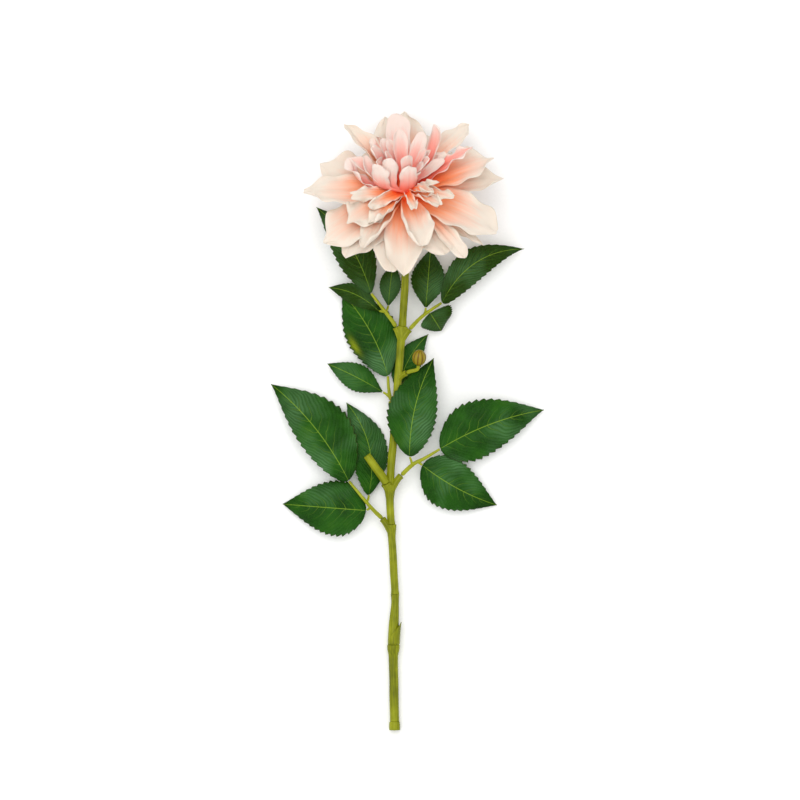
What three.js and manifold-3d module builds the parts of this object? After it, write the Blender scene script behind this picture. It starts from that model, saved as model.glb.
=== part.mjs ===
// A single dahlia on its cut stem, laid on its back on a table: a moulded stem in sections, five leaf sprays
// of three toothed leaflets, a round bud on a stalk, a cut side shoot, a calyx and a bloom of layered petals.
// Millimetres, +Z up, table at z = 0. +Y runs along the stem from the cut end to the bloom, +X is to the
// right seen from above, and the origin is the middle of the object's footprint on the table.
import * as THREE from "three";
import { mergeVertices } from "three/addons/utils/BufferGeometryUtils.js";
import Module from "manifold-3d";

const wasm = await Module();
wasm.setup();

// Driving dimensions
const GAP = 0.3; // between neighbouring pieces
const BLADE = 0.7; // thickness of a petal or leaflet
const STEM_SIDES = 12;
const TWIG_SIDES = 7;
const BLOOM_SEAT = [-2.9, 175.2, 45.5]; // middle of the receptacle, where all the petals spring from
const BLOOM_TILT = THREE.MathUtils.degToRad(45); // the bloom's axis leans this far from upright, towards +Y
const RECEPTACLE_RADIUS = 9;
const RECEPTACLE_FLOOR = -2; // heights along the bloom's axis, from its seat
const OUTER_TOP = 7;
const CORE_RADIUS = 6.5;
const CORE_TOP = 15;
const PETAL_SPINE_STEPS = 24;
const PETAL_CROSS_STEPS = 6;
const FOLD_WIDTH = 0.12; // share of the half width over which a folded petal turns
const CURL_SHARE = 0.45; // a blade this coarse takes less than half of its edges' real curl
const EDGE_WAVES = 1.3; // waves along a petal's edge
const OFF_BEAT = 2; // radians between the waves of its two edges
const WAVING_WIDTH = 5; // half width below which the waves die down
const CHANCE_TWIST = 9; // degrees either way that a petal twists by chance
const SLIPPED_AT = 0.3; // share of its length by which a petal has slipped sideways from its root
const LEAF_TEETH = 10;

// The stem's centre line, x, y, z: low at the cut end, rising to the bloom and turning up into it
const STEM_ROUTE = [
  [-10.1, -246, 4.2],
  [-10.1, -234, 4.2],
  [-10.9, -184, 5.8],
  [-10.6, -160, 6.8],
  [-9.7, -136, 7.8],
  [-11.6, -100, 9.3],
  [-13.6, -62, 10.9],
  [-13.2, -42, 11.8],
  [-9.7, 2, 13.6],
  [-6.6, 42, 15.3],
  [-3.9, 76, 16.8],
  [-2.3, 100, 18],
  [-1.6, 122, 19.4],
  [-2, 138, 21.2],
  [-2.5, 150, 24.6],
  [-2.8, 160, 31],
  [-2.9, 169, 39.5],
];

const BUD_RADIUS = 5.5;
const BUD_STRETCH = 1.16;
const BUD_CENTRE = new THREE.Vector3(9.1, 50, 25);
const BUD_AXIS = new THREE.Vector3(0.08, 0.9, 0.42).normalize(); // from its stalk to its tip
const BUD_SEAT = BUD_CENTRE.clone().addScaledVector(BUD_AXIS, -BUD_RADIUS * BUD_STRETCH - GAP).toArray();

// Each length of stem as rings [y, radius], from the cut end up
const STEM_LENGTHS = {
  stem_foot: [[-241, 4.3], [-235.2, 4.3], [-234.6, 3.9]],
  stem_1: [[-234.3, 3.65], [-205, 3.6], [-183, 3.7], [-177, 4.9], [-174.5, 4.9]],
  stem_2: [[-174.2, 4.5], [-171, 4.6], [-163, 4.2], [-142, 3.05], [-137, 3.2], [-134.9, 3.5]],
  stem_3: [[-134.6, 3.5], [-132, 3.1], [-110, 3.05], [-90, 3.1], [-83, 4], [-80.4, 4.3]],
  stem_4: [[-80.1, 3.4], [-76, 3.05], [-60, 3.1], [-54, 4.2], [-49.2, 4.8]],
  stem_5: [[-48.9, 3.3], [-42, 3.15], [-10, 3.1], [30, 3.1], [64, 3.15], [70, 3.9], [74.3, 4]],
  stem_6: [[74.6, 3.2], [80, 3], [100, 3], [122, 3], [135, 3], [145, 3], [153, 3], [159, 3], [165, 3.1]],
};

// The leaf stalks, the bud's stalk and the cut side shoot. Each is plugged into an arm of a length of stem,
// which covers the first `socket` of its route, and forks to its leaflets.
const STALKS = {
  stalk_low_left: {
    plugsInto: "stem_3",
    points: [[-13, -86, 9.9], [-18.4, -77, 11], [-25.2, -70.2, 12.6], [-32.3, -62.2, 14], [-45.6, -46.2, 15]],
    radii: [2.2, 1],
    socket: 0.3,
    forks: [
      { points: [[-31.6, -62.4, 13.8], [-30.6, -60, 12.2], [-30.2, -57.4, 10.2]], radii: [1.1, 0.9] },
      { points: [[-28.4, -66.6, 13.2], [-30, -67.8, 12.8], [-31.7, -68.8, 12.2]], radii: [1.2, 0.9] },
    ],
  },
  stalk_low_right: {
    plugsInto: "stem_4",
    points: [[-12.6, -53, 11.2], [-6.8, -44, 13], [4, -33.4, 15.4], [13, -28.6, 15.6], [25.2, -21.2, 14.8]],
    radii: [2.2, 1],
    socket: 0.3,
    forks: [
      { points: [[3.8, -33.6, 15.4], [2.8, -30, 16.8], [1.8, -27.4, 17.6]], radii: [1.1, 0.9] },
      { points: [[8, -31, 15.4], [10, -32.4, 14.4], [11.3, -33.6, 13.2]], radii: [1.1, 0.9] },
    ],
  },
  stalk_middle: {
    plugsInto: "stem_5",
    points: [[-8.6, 8, 13.2], [-13, 17.4, 11.4], [-14.6, 26, 10], [-15.2, 35.6, 9.2]],
    radii: [1.9, 1],
    socket: 0.3,
    forks: [
      { points: [[-13.2, 18.4, 11.2], [-16.4, 21.4, 10.6], [-19, 23.2, 10]], radii: [1.1, 0.9] },
      { points: [[-13.2, 17.8, 10.8], [-10.2, 20.4, 8.6], [-7.6, 22.6, 7.6]], radii: [1, 0.9] },
    ],
  },
  stalk_upper_left: {
    plugsInto: "stem_5",
    points: [[-4.4, 62, 16.2], [-9.6, 75, 17.4], [-17.4, 86, 17.8], [-28.2, 100, 17.4]],
    radii: [2.1, 1],
    socket: 0.3,
    forks: [
      { points: [[-17, 85.4, 17.8], [-19.6, 86, 17], [-21.8, 86.3, 16.2]], radii: [1, 0.9] },
      { points: [[-17, 85.4, 17.6], [-15.6, 88, 15.4], [-15, 90.4, 13]], radii: [1, 0.9] },
    ],
  },
  stalk_upper_right: {
    plugsInto: "stem_5",
    points: [[-4.6, 64, 16.4], [2.4, 73, 18.2], [12.8, 83.2, 19], [26.6, 92.8, 18]],
    radii: [2.1, 1],
    socket: 0.3,
    forks: [
      { points: [[12.6, 83, 19], [13.8, 86, 18.6], [14.2, 88.8, 17.6]], radii: [1, 0.9] },
      { points: [[14.2, 84.4, 19], [15.8, 85, 18.2], [17, 85.2, 17.4]], radii: [1, 0.9] },
    ],
  },
  bud_stalk: {
    plugsInto: "stem_5",
    points: [
      [-7.2, 33.6, 14.9], [-3.2, 36.8, 17.4], [1.6, 39.2, 19.6], [6, 40.2, 20.8], [8.1, 41.4, 21.1],
      BUD_SEAT,
    ],
    radii: [1.7, 1.3],
    socket: 0.3,
    forks: [],
  },
  side_shoot: {
    plugsInto: "stem_4",
    points: [[-14, -52.4, 11.2], [-19, -43.6, 14.4], [-25.2, -35, 16.6], [-31.6, -26.1, 18]],
    radii: [3.6, 3],
    socket: 0.18,
    forks: [],
  },
};

// Each leaflet by its stalk and place on it: base, tip, half width and shape
const LEAFLETS = {
  low_left_tip: [[-46.1, -45.6, 15.2], [-106.6, 29.4, 5], 22.4, {
    roll: 8, bow: 4.8,
    lean: 0.22, widest: 0.43,
  }],
  low_left_side: [[-32.5, -69.1, 12], [-97.6, -64.3, 3], 22.4, { arch: 4, widest: 0.32, phase: 1 }],
  low_left_middle: [[-30.2, -56.8, 9.2], [-47.7, 15, 5], 15, {
    roll: 12, arch: 1, bow: 9,
    rounding: 0.8, point: 1.4, phase: 2,
  }],
  low_right_tip: [[25.8, -20.8, 14.6], [106.6, 9.3, 4], 23.2, { roll: 4, bow: -4.6, widest: 0.32, phase: 1 }],
  low_right_side: [[11.8, -34, 12.7], [70, -65.1, 3], 20.8, { arch: 3, bow: 3, widest: 0.33, phase: 2 }],
  low_right_top: [[1.6, -26.6, 17.9], [20.5, 49.6, 15], 20, {
    roll: 4, arch: 7, bow: -5.5,
    lean: -0.06, rounding: 0.7,
  }],
  middle_big: [[-15.4, 36.2, 9.2], [-51.5, 100.8, 5], 21, {
    roll: -8, arch: 2, bow: 5.2,
    widest: 0.5, rounding: 0.75, phase: 1,
  }],
  middle_small: [[-19.8, 23.6, 9.8], [-62.7, 45.4, 7], 11, {
    arch: 3, bow: 1, widest: 0.45,
    rounding: 1.2, phase: 2,
  }],
  middle_right: [[-7.2, 23.2, 7.2], [16.4, 68.5, 3], 11.5, { arch: 1, bow: -4.5, rounding: 0.9 }],
  upper_left_tip: [[-28.6, 100.6, 17], [-71.1, 167.6, 8], 15.5, { bow: 6, rounding: 0.8, phase: 1 }],
  upper_left_side: [[-22.4, 86.4, 16], [-61.6, 104.8, 9], 8.5, {
    roll: -8, arch: 1, bow: 4.2,
    widest: 0.5, rounding: 1, phase: 2,
  }],
  upper_left_inner: [[-14.9, 91, 12.4], [-10.6, 125, 9], 8.6, {
    arch: 1, bow: -0.5, widest: 0.46,
    rounding: 1,
  }],
  upper_right_inner: [[14.3, 89.4, 17], [18.1, 135.2, 8], 13.8, {
    arch: 2, widest: 0.46,
    rounding: 1.1, phase: 1,
  }],
  upper_right_tip: [[27.2, 93.2, 17.8], [91.1, 135.1, 9], 13.2, { bow: -11.5, phase: 2 }],
  upper_right_small: [[17.8, 84.6, 16.6], [26.5, 71, 6], 14.5, {
    arch: 2, lean: -0.18, widest: 0.26,
    rounding: 0.8,
  }],
};

// Materials
const stemGreen = new THREE.MeshStandardMaterial({ color: 0x8a8f1e, roughness: 0.5, metalness: 0 });
const twigGreen = new THREE.MeshStandardMaterial({ color: 0xa3a83a, roughness: 0.5, metalness: 0 });
const leafGreen = new THREE.MeshStandardMaterial({ color: 0x1f4a1c, roughness: 0.45, metalness: 0 });
const budOlive = new THREE.MeshStandardMaterial({ color: 0x8c7420, roughness: 0.45, metalness: 0 });
const petalCream = new THREE.MeshStandardMaterial({ color: 0xf6d3bd, roughness: 0.8, metalness: 0 });
const petalPink = new THREE.MeshStandardMaterial({ color: 0xf39f93, roughness: 0.8, metalness: 0 });

const radians = THREE.MathUtils.degToRad;
const { sin, cos, abs, PI } = Math;

// A repeatable draw between -1 and 1 for petal i of layer k
function wander(i, k) {
  const wave = sin(i * 12.9898 + k * 78.233) * 43758.5453;
  return 2 * (wave - Math.floor(wave)) - 1;
}

// A closed geometry as a solid, with its shared vertices merged and its flat triangles dropped
function solidOf(geometry) {
  const bare = new THREE.BufferGeometry();
  bare.setAttribute("position", geometry.getAttribute("position"));
  if (geometry.index) bare.setIndex(geometry.index);
  const merged = mergeVertices(bare, 1e-4);
  const kept = [];
  const index = merged.index.array;
  for (let i = 0; i < index.length; i += 3) {
    const [a, b, c] = index.subarray(i, i + 3);
    if (a !== b && b !== c && a !== c) kept.push(a, b, c);
  }
  return new wasm.Manifold(
    new wasm.Mesh({
      numProp: 3,
      vertProperties: merged.getAttribute("position").array,
      triVerts: new Uint32Array(kept),
    }),
  );
}

function geometryOf(solid) {
  const mesh = solid.getMesh();
  const geometry = new THREE.BufferGeometry();
  geometry.setAttribute("position", new THREE.BufferAttribute(mesh.vertProperties, 3));
  geometry.setIndex(new THREE.BufferAttribute(mesh.triVerts, 1));
  geometry.computeVertexNormals();
  return geometry;
}

// The largest body of a solid, without its scraps and with its sealed hollows filled
function wholeBody(solid) {
  return solid.decompose().reduce((best, body) => (body.volume() > best.volume() ? body : best));
}

const join = (solids) => wholeBody(solids.reduce((whole, piece) => whole.add(piece)));
const cutClear = (solid, others) => wholeBody(others.reduce((whole, other) => whole.subtract(other), solid));

// A thin closed blade on the surface at(u, v), v from -1 to 1. Both faces carry the same triangles.
function blade(at, stepsAlong, stepsAcross, thickness = BLADE) {
  const positions = [];
  const index = [];
  const nudge = 1e-3;
  const row = stepsAcross + 1;
  const face = (stepsAlong + 1) * row;
  const tops = [];
  const undersides = [];
  for (let i = 0; i <= stepsAlong; i++) {
    const u = 1 - (1 - i / stepsAlong) ** 1.4;
    for (let j = 0; j <= stepsAcross; j++) {
      const v = (2 * j) / stepsAcross - 1;
      const middle = at(u, v);
      const along = at(Math.min(u + nudge, 1), v).sub(at(Math.max(u - nudge, 0), v));
      const across = at(u, Math.min(v + nudge, 1)).sub(at(u, Math.max(v - nudge, -1)));
      const normal = along.cross(across).normalize().multiplyScalar(thickness / 2);
      tops.push(...middle.clone().add(normal).toArray());
      undersides.push(...middle.sub(normal).toArray());
    }
  }
  positions.push(...tops, ...undersides);
  const quad = (a, b, c, d) => index.push(a, b, c, a, c, d);
  for (let i = 0; i < stepsAlong; i++) {
    for (let j = 0; j < stepsAcross; j++) {
      const a = i * row + j;
      index.push(a, a + row, a + row + 1, a, a + row + 1, a + 1);
      index.push(face + a, face + a + row + 1, face + a + row, face + a, face + a + 1, face + a + row + 1);
    }
  }
  for (let i = 0; i < stepsAlong; i++) {
    const left = i * row;
    const right = left + stepsAcross;
    quad(left + row, left, face + left, face + left + row);
    quad(right, right + row, face + right + row, face + right);
  }
  for (let j = 0; j < stepsAcross; j++) {
    const far = stepsAlong * row + j;
    quad(j, j + 1, face + j + 1, face + j);
    quad(far + 1, far, face + far, face + far + 1);
  }
  const geometry = new THREE.BufferGeometry();
  geometry.setAttribute("position", new THREE.Float32BufferAttribute(positions, 3));
  geometry.setIndex(index);
  return geometry;
}

// A lathe turned on the profile [place along 0 to 1, radius], then bent along a curve
function bentLathe(curve, profile, sides = TWIG_SIDES) {
  const outline = profile.map(([s, radius]) => new THREE.Vector2(radius, s));
  const ends = [new THREE.Vector2(0, profile[0][0]), new THREE.Vector2(0, profile[profile.length - 1][0])];
  const geometry = new THREE.LatheGeometry([ends[0], ...outline, ends[1]], sides, PI / sides);
  const position = geometry.getAttribute("position");
  const vertex = new THREE.Vector3();
  const side = new THREE.Vector3();
  const up = new THREE.Vector3();
  for (let i = 0; i < position.count; i++) {
    vertex.fromBufferAttribute(position, i);
    const along = curve.getTangent(vertex.y);
    side.set(along.y, -along.x, 0).normalize();
    up.crossVectors(side, along);
    const centre = curve.getPoint(vertex.y);
    centre.addScaledVector(side, vertex.x).addScaledVector(up, vertex.z);
    position.setXYZ(i, centre.x, centre.y, centre.z);
  }
  return geometry;
}

const curveThrough = (points) =>
  new THREE.CatmullRomCurve3(points.map((p) => new THREE.Vector3(...p)), false, "catmullrom", 0.5);

const stemCurve = curveThrough(STEM_ROUTE);

// Where along the stem's curve, 0 to 1, it passes a given y
function stemPlace(y) {
  let low = 0;
  let high = 1;
  for (let step = 0; step < 30; step++) {
    const middle = (low + high) / 2;
    if (stemCurve.getPoint(middle).y < y) low = middle;
    else high = middle;
  }
  return (low + high) / 2;
}

// A length of stem with rings at [y, radius]
function stemLength(rings, extra = 0) {
  const profile = rings.map(([y, radius]) => [stemPlace(y), radius + extra]);
  return solidOf(bentLathe(stemCurve, profile, STEM_SIDES));
}

// A round twig along the points between two places on its curve, tapering between its radii
function twig({ points, radii, steps = 5 }, start = 0, end = 1, extra = 0) {
  const curve = curveThrough(points);
  const profile = [];
  for (let i = 0; i <= steps; i++) {
    const s = start + ((end - start) * i) / steps;
    profile.push([s, radii[0] + (radii[1] - radii[0]) * s + extra]);
  }
  return solidOf(bentLathe(curve, profile));
}

// Half the width of a petal at u: narrow at its claw, widest at `widest`, then closing to its tip
function petalOutline(u, { claw, widest, shoulder, taper }) {
  if (u < widest) return claw + (1 - claw) * sin((PI / 2) * (u / widest)) ** 1.1;
  const t = (u - widest) / (1 - widest);
  return Math.max(0.03, cos((PI / 2) * t ** shoulder) ** taper);
}

// How far round its spine a petal has turned at v: cupped, folded and curled at its edges
function petalTurn(u, v, petal) {
  const cup = petal.cup + (petal.cupTip - petal.cup) * u;
  const curl = CURL_SHARE * (v < 0 ? petal.curlLow : petal.curlHigh) * u ** petal.curlFrom;
  return cup * v + petal.fold * Math.tanh(v / FOLD_WIDTH) + curl * v ** 3;
}

// A petal's middle surface about the bloom's axis, u along it and v across. Its spine's slope bends towards
// the tip, and sums of small steps across give how far each point lies sideways and how far it lifts.
function petalSurface(petal) {
  const slopeAt = (u) => radians(petal.meanRise + petal.bend * (u * u - 1 / 3));
  const spine = [[petal.root, petal.seat]];
  const step = (petal.reach - petal.root) / PETAL_SPINE_STEPS;
  for (let i = 1; i <= PETAL_SPINE_STEPS; i++) {
    const slope = slopeAt((i - 0.5) / PETAL_SPINE_STEPS);
    const [x, z] = spine[i - 1];
    spine.push([x + step * cos(slope), z + step * sin(slope)]);
  }
  return (u, v) => {
    const place = Math.min(u * PETAL_SPINE_STEPS, PETAL_SPINE_STEPS - 1e-9);
    const i = Math.floor(place);
    const f = place - i;
    const x = spine[i][0] + f * (spine[i + 1][0] - spine[i][0]);
    const z = spine[i][1] + f * (spine[i + 1][1] - spine[i][1]);
    const width = petal.halfWidth * petalOutline(u, petal);
    const slice = (width * v) / PETAL_CROSS_STEPS;
    let sideways = 0;
    let lift = 0;
    for (let k = 0; k < PETAL_CROSS_STEPS; k++) {
      const turned = petalTurn(u, (v * (k + 0.5)) / PETAL_CROSS_STEPS, petal);
      sideways += slice * cos(turned);
      lift += slice * sin(turned);
    }
    const wave = petal.wave * Math.min(1, width / WAVING_WIDTH);
    const beat = 2 * PI * EDGE_WAVES * u + petal.phase + (v > 0 ? OFF_BEAT : 0);
    lift += wave * abs(v) ** 1.5 * u * sin(beat);
    const turn = radians(petal.twist + CHANCE_TWIST * sin(5 * petal.phase)) * (0.4 + 0.6 * u);
    [sideways, lift] = [sideways * cos(turn) - lift * sin(turn), sideways * sin(turn) + lift * cos(turn)];
    const slope = slopeAt(u);
    const out = x - lift * sin(slope);
    const heading = radians(petal.azimuth + petal.sweep * u * u);
    const slipped = 1 - Math.max(0, 1 - u / SLIPPED_AT) ** 2;
    return new THREE.Vector3(
      out * cos(heading) - sideways * sin(heading) + petal.shift[0] * slipped,
      out * sin(heading) + sideways * cos(heading) + petal.shift[1] * slipped,
      z + lift * cos(slope),
    );
  };
}

const tableLevel = BLOOM_SEAT[2];
const clearance = BLADE / 2 + 0.1;

// A point of the bloom pushed up out of the table, so that the lowest petals lie down on it
function drape(point) {
  const height = tableLevel - point.y * sin(BLOOM_TILT) + point.z * cos(BLOOM_TILT);
  const soft = 1.2;
  const over = (height - clearance) / soft;
  const settled = clearance + (over > 6 ? over : Math.log(1 + Math.exp(over))) * soft;
  const push = settled - height;
  point.y -= push * sin(BLOOM_TILT);
  point.z += push * cos(BLOOM_TILT);
  return point;
}

// The petals by azimuth round the bloom, mean rise, bend at the tip (degrees), reach from the axis, half
// width and seat height (millimetres), and what is a petal's own. Azimuth 0 is to the right, 90 towards the
// table and -90 towards the stem.
const OUTER_PETALS = [
  [-31, -15, -22, 74, 8, -0.5, { taper: 1.3, widest: 0.5 }],
  [-51.5, -9, -26, 77, 7.5, 0.5, { cup: 0.8, cupTip: 0.6, widest: 0.75 }],
  [-60, -9, -20, 65, 15, -0.5, { wave: 2, cup: 0.1 }],
  [-98, -14, -20, 71, 17, -0.5],
  [-129, -12, -22, 73, 16, 0, { wave: 2.2 }],
  [-174, 7, -16, 78, 16, 1.5, { cup: 0.5 }],
  [157, 7, -14, 71, 18, -1, { cup: 0.4 }],
  [116, -6, -12, 65, 12, -0.5],
  [103, 22, -16, 70, 15, 0],
  [75, 4, -12, 68, 16, -0.5],
  [56, -5, -12, 67, 14, 0],
  [12, 2, -14, 79, 14, 0, { taper: 1.2, curlLow: 1.5 }],
  [-26, -7, -24, 80, 20, 2.5, { wave: 2.8, claw: 0.3, cup: 0.5 }],
  [-90, -16, -22, 75, 16, 1.5, { fold: 0.25, taper: 1.15, shoulder: 1.4 }],
  [-118, -3, -18, 66, 12, 1.5, { curlHigh: 3.4, cup: 0.6, curlFrom: 0.4 }],
  [-144, -9, -20, 76, 19, 1.5, { wave: 2.4 }],
  [-77.5, 1, -20, 62, 14, 2, { curlLow: 4.2, cup: 0.6, curlFrom: 0.5 }],
  [20, 12, -16, 75, 18, 1.5, { cup: 0.6 }],
  [47.5, 18, -16, 78, 10, 2, { cup: 0.7, shoulder: 2, taper: 0.6 }],
  [90, 21, -14, 72, 18, 2, { fold: -0.3 }],
  [135, 26, -12, 73, 10, 2, { fold: 0.7, taper: 1.2 }],
];
const MIDDLE_PETALS = [
  [-138, 2, -16, 56, 15, 3.5],
  [-119, 9, -18, 48, 8, 3.5, { curlHigh: 1.6, curlFrom: 0.2, claw: 0.5, taper: 0.4, shoulder: 3 }],
  [-132, 13, -14, 41, 6, 7, {
    claw: 0.9, widest: 0.4, twist: -50, wave: 1,
    curlLow: 3.2, curlFrom: 0.1, taper: 0.6, shoulder: 2.4,
  }],
  [-150, 22, -14, 48, 6.5, 4.5, {
    twist: -30, taper: 0.4, shoulder: 3, wave: 2,
    claw: 0.6, cup: 0.8, cupTip: -1.5,
  }],
  [-75, 16, -10, 36, 4.5, 8, {
    cup: 0.8, cupTip: -1.2, claw: 0.6,
    curlLow: 3, curlHigh: 2, curlFrom: 0.2,
  }],
  [-46, 16, -18, 41, 5.5, 6, { cup: 1, curlLow: 3, curlFrom: 0.3, taper: 0.4, shoulder: 3, twist: 20 }],
  [-41, 28, -10, 34, 5, 8, { cup: 1.6, cupTip: 1.6, twist: 30, claw: 0.6 }],
  [-33, 22, -16, 49, 6, 5, { curlHigh: 3, curlFrom: 0.3, claw: 0.5, twist: 10 }],
  [-29, 37, -10, 38, 3, 7, { twist: 50, taper: 1.2 }],
  [35, 30, -10, 44, 5, 5, { cup: 0.8 }],
  [22, 27, -10, 64, 8.5, 4, { taper: 1.2 }],
  [38, 38, 0, 58, 8, 4, { fold: 0.8, twist: 25, sweep: 22 }],
  [124, 35, 0, 50, 7, 4],
  [-166, 24, 24, 51, 8, 4, { cup: 1.5, cupTip: 1, sweep: -36 }],
];
const INNER_PETALS = [
  [96, 30, -8, 63, 9.5, 6, { fold: -0.2, claw: 0.5 }],
  [100, 64, 0, 46, 6.2, 10, { claw: 0.2 }],
  [55, 57, 0, 46, 6, 10, { claw: 0.2, taper: 0.8 }],
  [139, 61, 0, 44, 5, 9],
  [164, 56, 0, 44, 7, 9, { cup: 1.2, taper: 0.4 }],
  [159, 68, 0, 36, 4, 10],
  [-70, 80, 0, 42, 4.8, 11, { taper: 0.9 }],
  [33, 59, 0, 36, 3.8, 10],
  [32, 50, 0, 36, 3.6, 10],
  [-7, 63, 0, 30, 4.5, 11],
  [-27, 60, 0, 26, 3, 10],
  [20, 30, 0, 38, 5, 9],
  [-118, 84, 50, 37, 8.2, 8.5, { shift: [-14, 0], root: 6, claw: 1 }],
  [-105, 95, 50, 40, 6.5, 8.5, { shift: [-9, 0], root: 6, claw: 0.7 }],
  [-85, 85, 40, 37, 7.4, 8.5, { shift: [3, 0], root: 6, claw: 0.9, taper: 1.2, shoulder: 1.5 }],
  [-160, 38, 30, 41, 7, 8.5, { sweep: -38 }],
  [128, 64, 0, 42, 4.5, 8.5],
  [-170, 58, 0, 38, 7, 8.5],
  [168, 30, 0, 47, 6, 8],
  [5, 60, 0, 36, 6, 8.5],
];

// What a petal is like unless its whorl or its own row says otherwise
const PETAL = {
  root: 4,
  claw: 0.2,
  widest: 0.6,
  shoulder: 1.6,
  taper: 0.85,
  cup: 0.35,
  cupTip: 0.15,
  fold: 0,
  twist: 0,
  wave: 2.2,
  curlLow: 0,
  curlHigh: 0,
  curlFrom: 1.5,
  sweep: 0,
  shift: [0, 0],
};
const MIDDLE_LOOK = { cup: 0.55, cupTip: 0.3, wave: 2.4, widest: 0.62 };
const INNER_LOOK = {
  root: 3, claw: 0.35, widest: 0.74, shoulder: 2.1,
  taper: 0.6, cup: 0.8, cupTip: 0.6, wave: 0.8,
};
const SEPAL_LOOK = { root: 5, widest: 0.4, shoulder: 1.3, taper: 1.1, cup: 0.5, cupTip: 0.3, wave: 0.3 };

// The solids of a whorl, each a blade with its steps along and across
function petalSolids(rows, look, along, across, extra = 0) {
  return rows.map(([azimuth, meanRise, bend, reach, halfWidth, seat, own], i) => {
    const phase = 3 * wander(i, 5);
    const petal = { azimuth, meanRise, bend, reach, halfWidth, seat, phase, ...PETAL, ...look, ...own };
    const surface = petalSurface(petal);
    return solidOf(blade((u, v) => drape(surface(u, v)), along, across, BLADE + extra));
  });
}

// A solid turned about the bloom's axis from a profile of [radius, height]
function lathed(profile, sides) {
  const points = profile.map(([radius, height]) => new THREE.Vector2(radius, height));
  return solidOf(new THREE.LatheGeometry(points, sides).rotateX(PI / 2));
}

function outerBloom(innerBlooms) {
  const receptacle = lathed(
    [
      [0, RECEPTACLE_FLOOR],
      [RECEPTACLE_RADIUS, RECEPTACLE_FLOOR],
      [RECEPTACLE_RADIUS, 3],
      [CORE_RADIUS, OUTER_TOP],
      [0, OUTER_TOP],
    ],
    16,
  );
  const petals = [...petalSolids(OUTER_PETALS, {}, 4, 4), ...petalSolids(MIDDLE_PETALS, MIDDLE_LOOK, 4, 4)];
  return cutClear(join([receptacle, ...petals]), innerBlooms);
}

function innerBloom(extra = 0) {
  const core = lathed(
    [
      [0, OUTER_TOP + GAP - extra],
      [CORE_RADIUS + extra, OUTER_TOP + GAP - extra],
      [CORE_RADIUS + extra, 10],
      [4 + extra, CORE_TOP],
      [0, CORE_TOP + 3],
    ],
    12,
  );
  return join([core, ...petalSolids(INNER_PETALS, INNER_LOOK, 4, 2, 2 * extra)]);
}

// A calyx cup behind the petals, with eight pointed sepals turned back
function calyx() {
  const top = RECEPTACLE_FLOOR - GAP;
  const cup = lathed(
    [
      [0, -14],
      [3.4, -14],
      [5.5, -11],
      [9.5, -6],
      [RECEPTACLE_RADIUS, top],
      [0, top],
    ],
    12,
  );
  const sepals = Array.from({ length: 8 }, (_, i) => [45 * i + 20, -30.7, 10, 24, 4.6, -6]);
  return join([cup, ...petalSolids(sepals, SEPAL_LOOK, 3, 2, 0.3)]);
}

// Half the width of a leaflet at u: rounded at the base, long and pointed at the tip
function leafOutline(u, leaf) {
  if (u < leaf.widest) return 0.07 + 0.93 * sin((PI / 2) * (u / leaf.widest)) ** leaf.rounding;
  const beyond = ((u - leaf.widest) / (1 - leaf.widest)) ** leaf.point;
  return Math.max(0.02, cos((PI / 2) * beyond) ** 1.1);
}

// A leaflet's surface over its chord: +Y from base to tip, arched along, bowed sideways, each half
// rising from the midrib and rolling over to its edge
function leafSurface(leaf) {
  return (u, v) => {
    const width = leaf.halfWidth * leafOutline(u, leaf) * (1 + leaf.lean * v);
    const hump = 4 * u * (1 - u);
    const lift = leaf.fold * abs(v) * width - leaf.droop * v * v * width;
    const ripple = leaf.ripple * v * abs(v) * sin(2 * PI * 1.5 * u + leaf.phase) * hump;
    return new THREE.Vector3(v * width + leaf.bow * hump, u * leaf.length, leaf.arch * hump + lift + ripple);
  };
}

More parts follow.
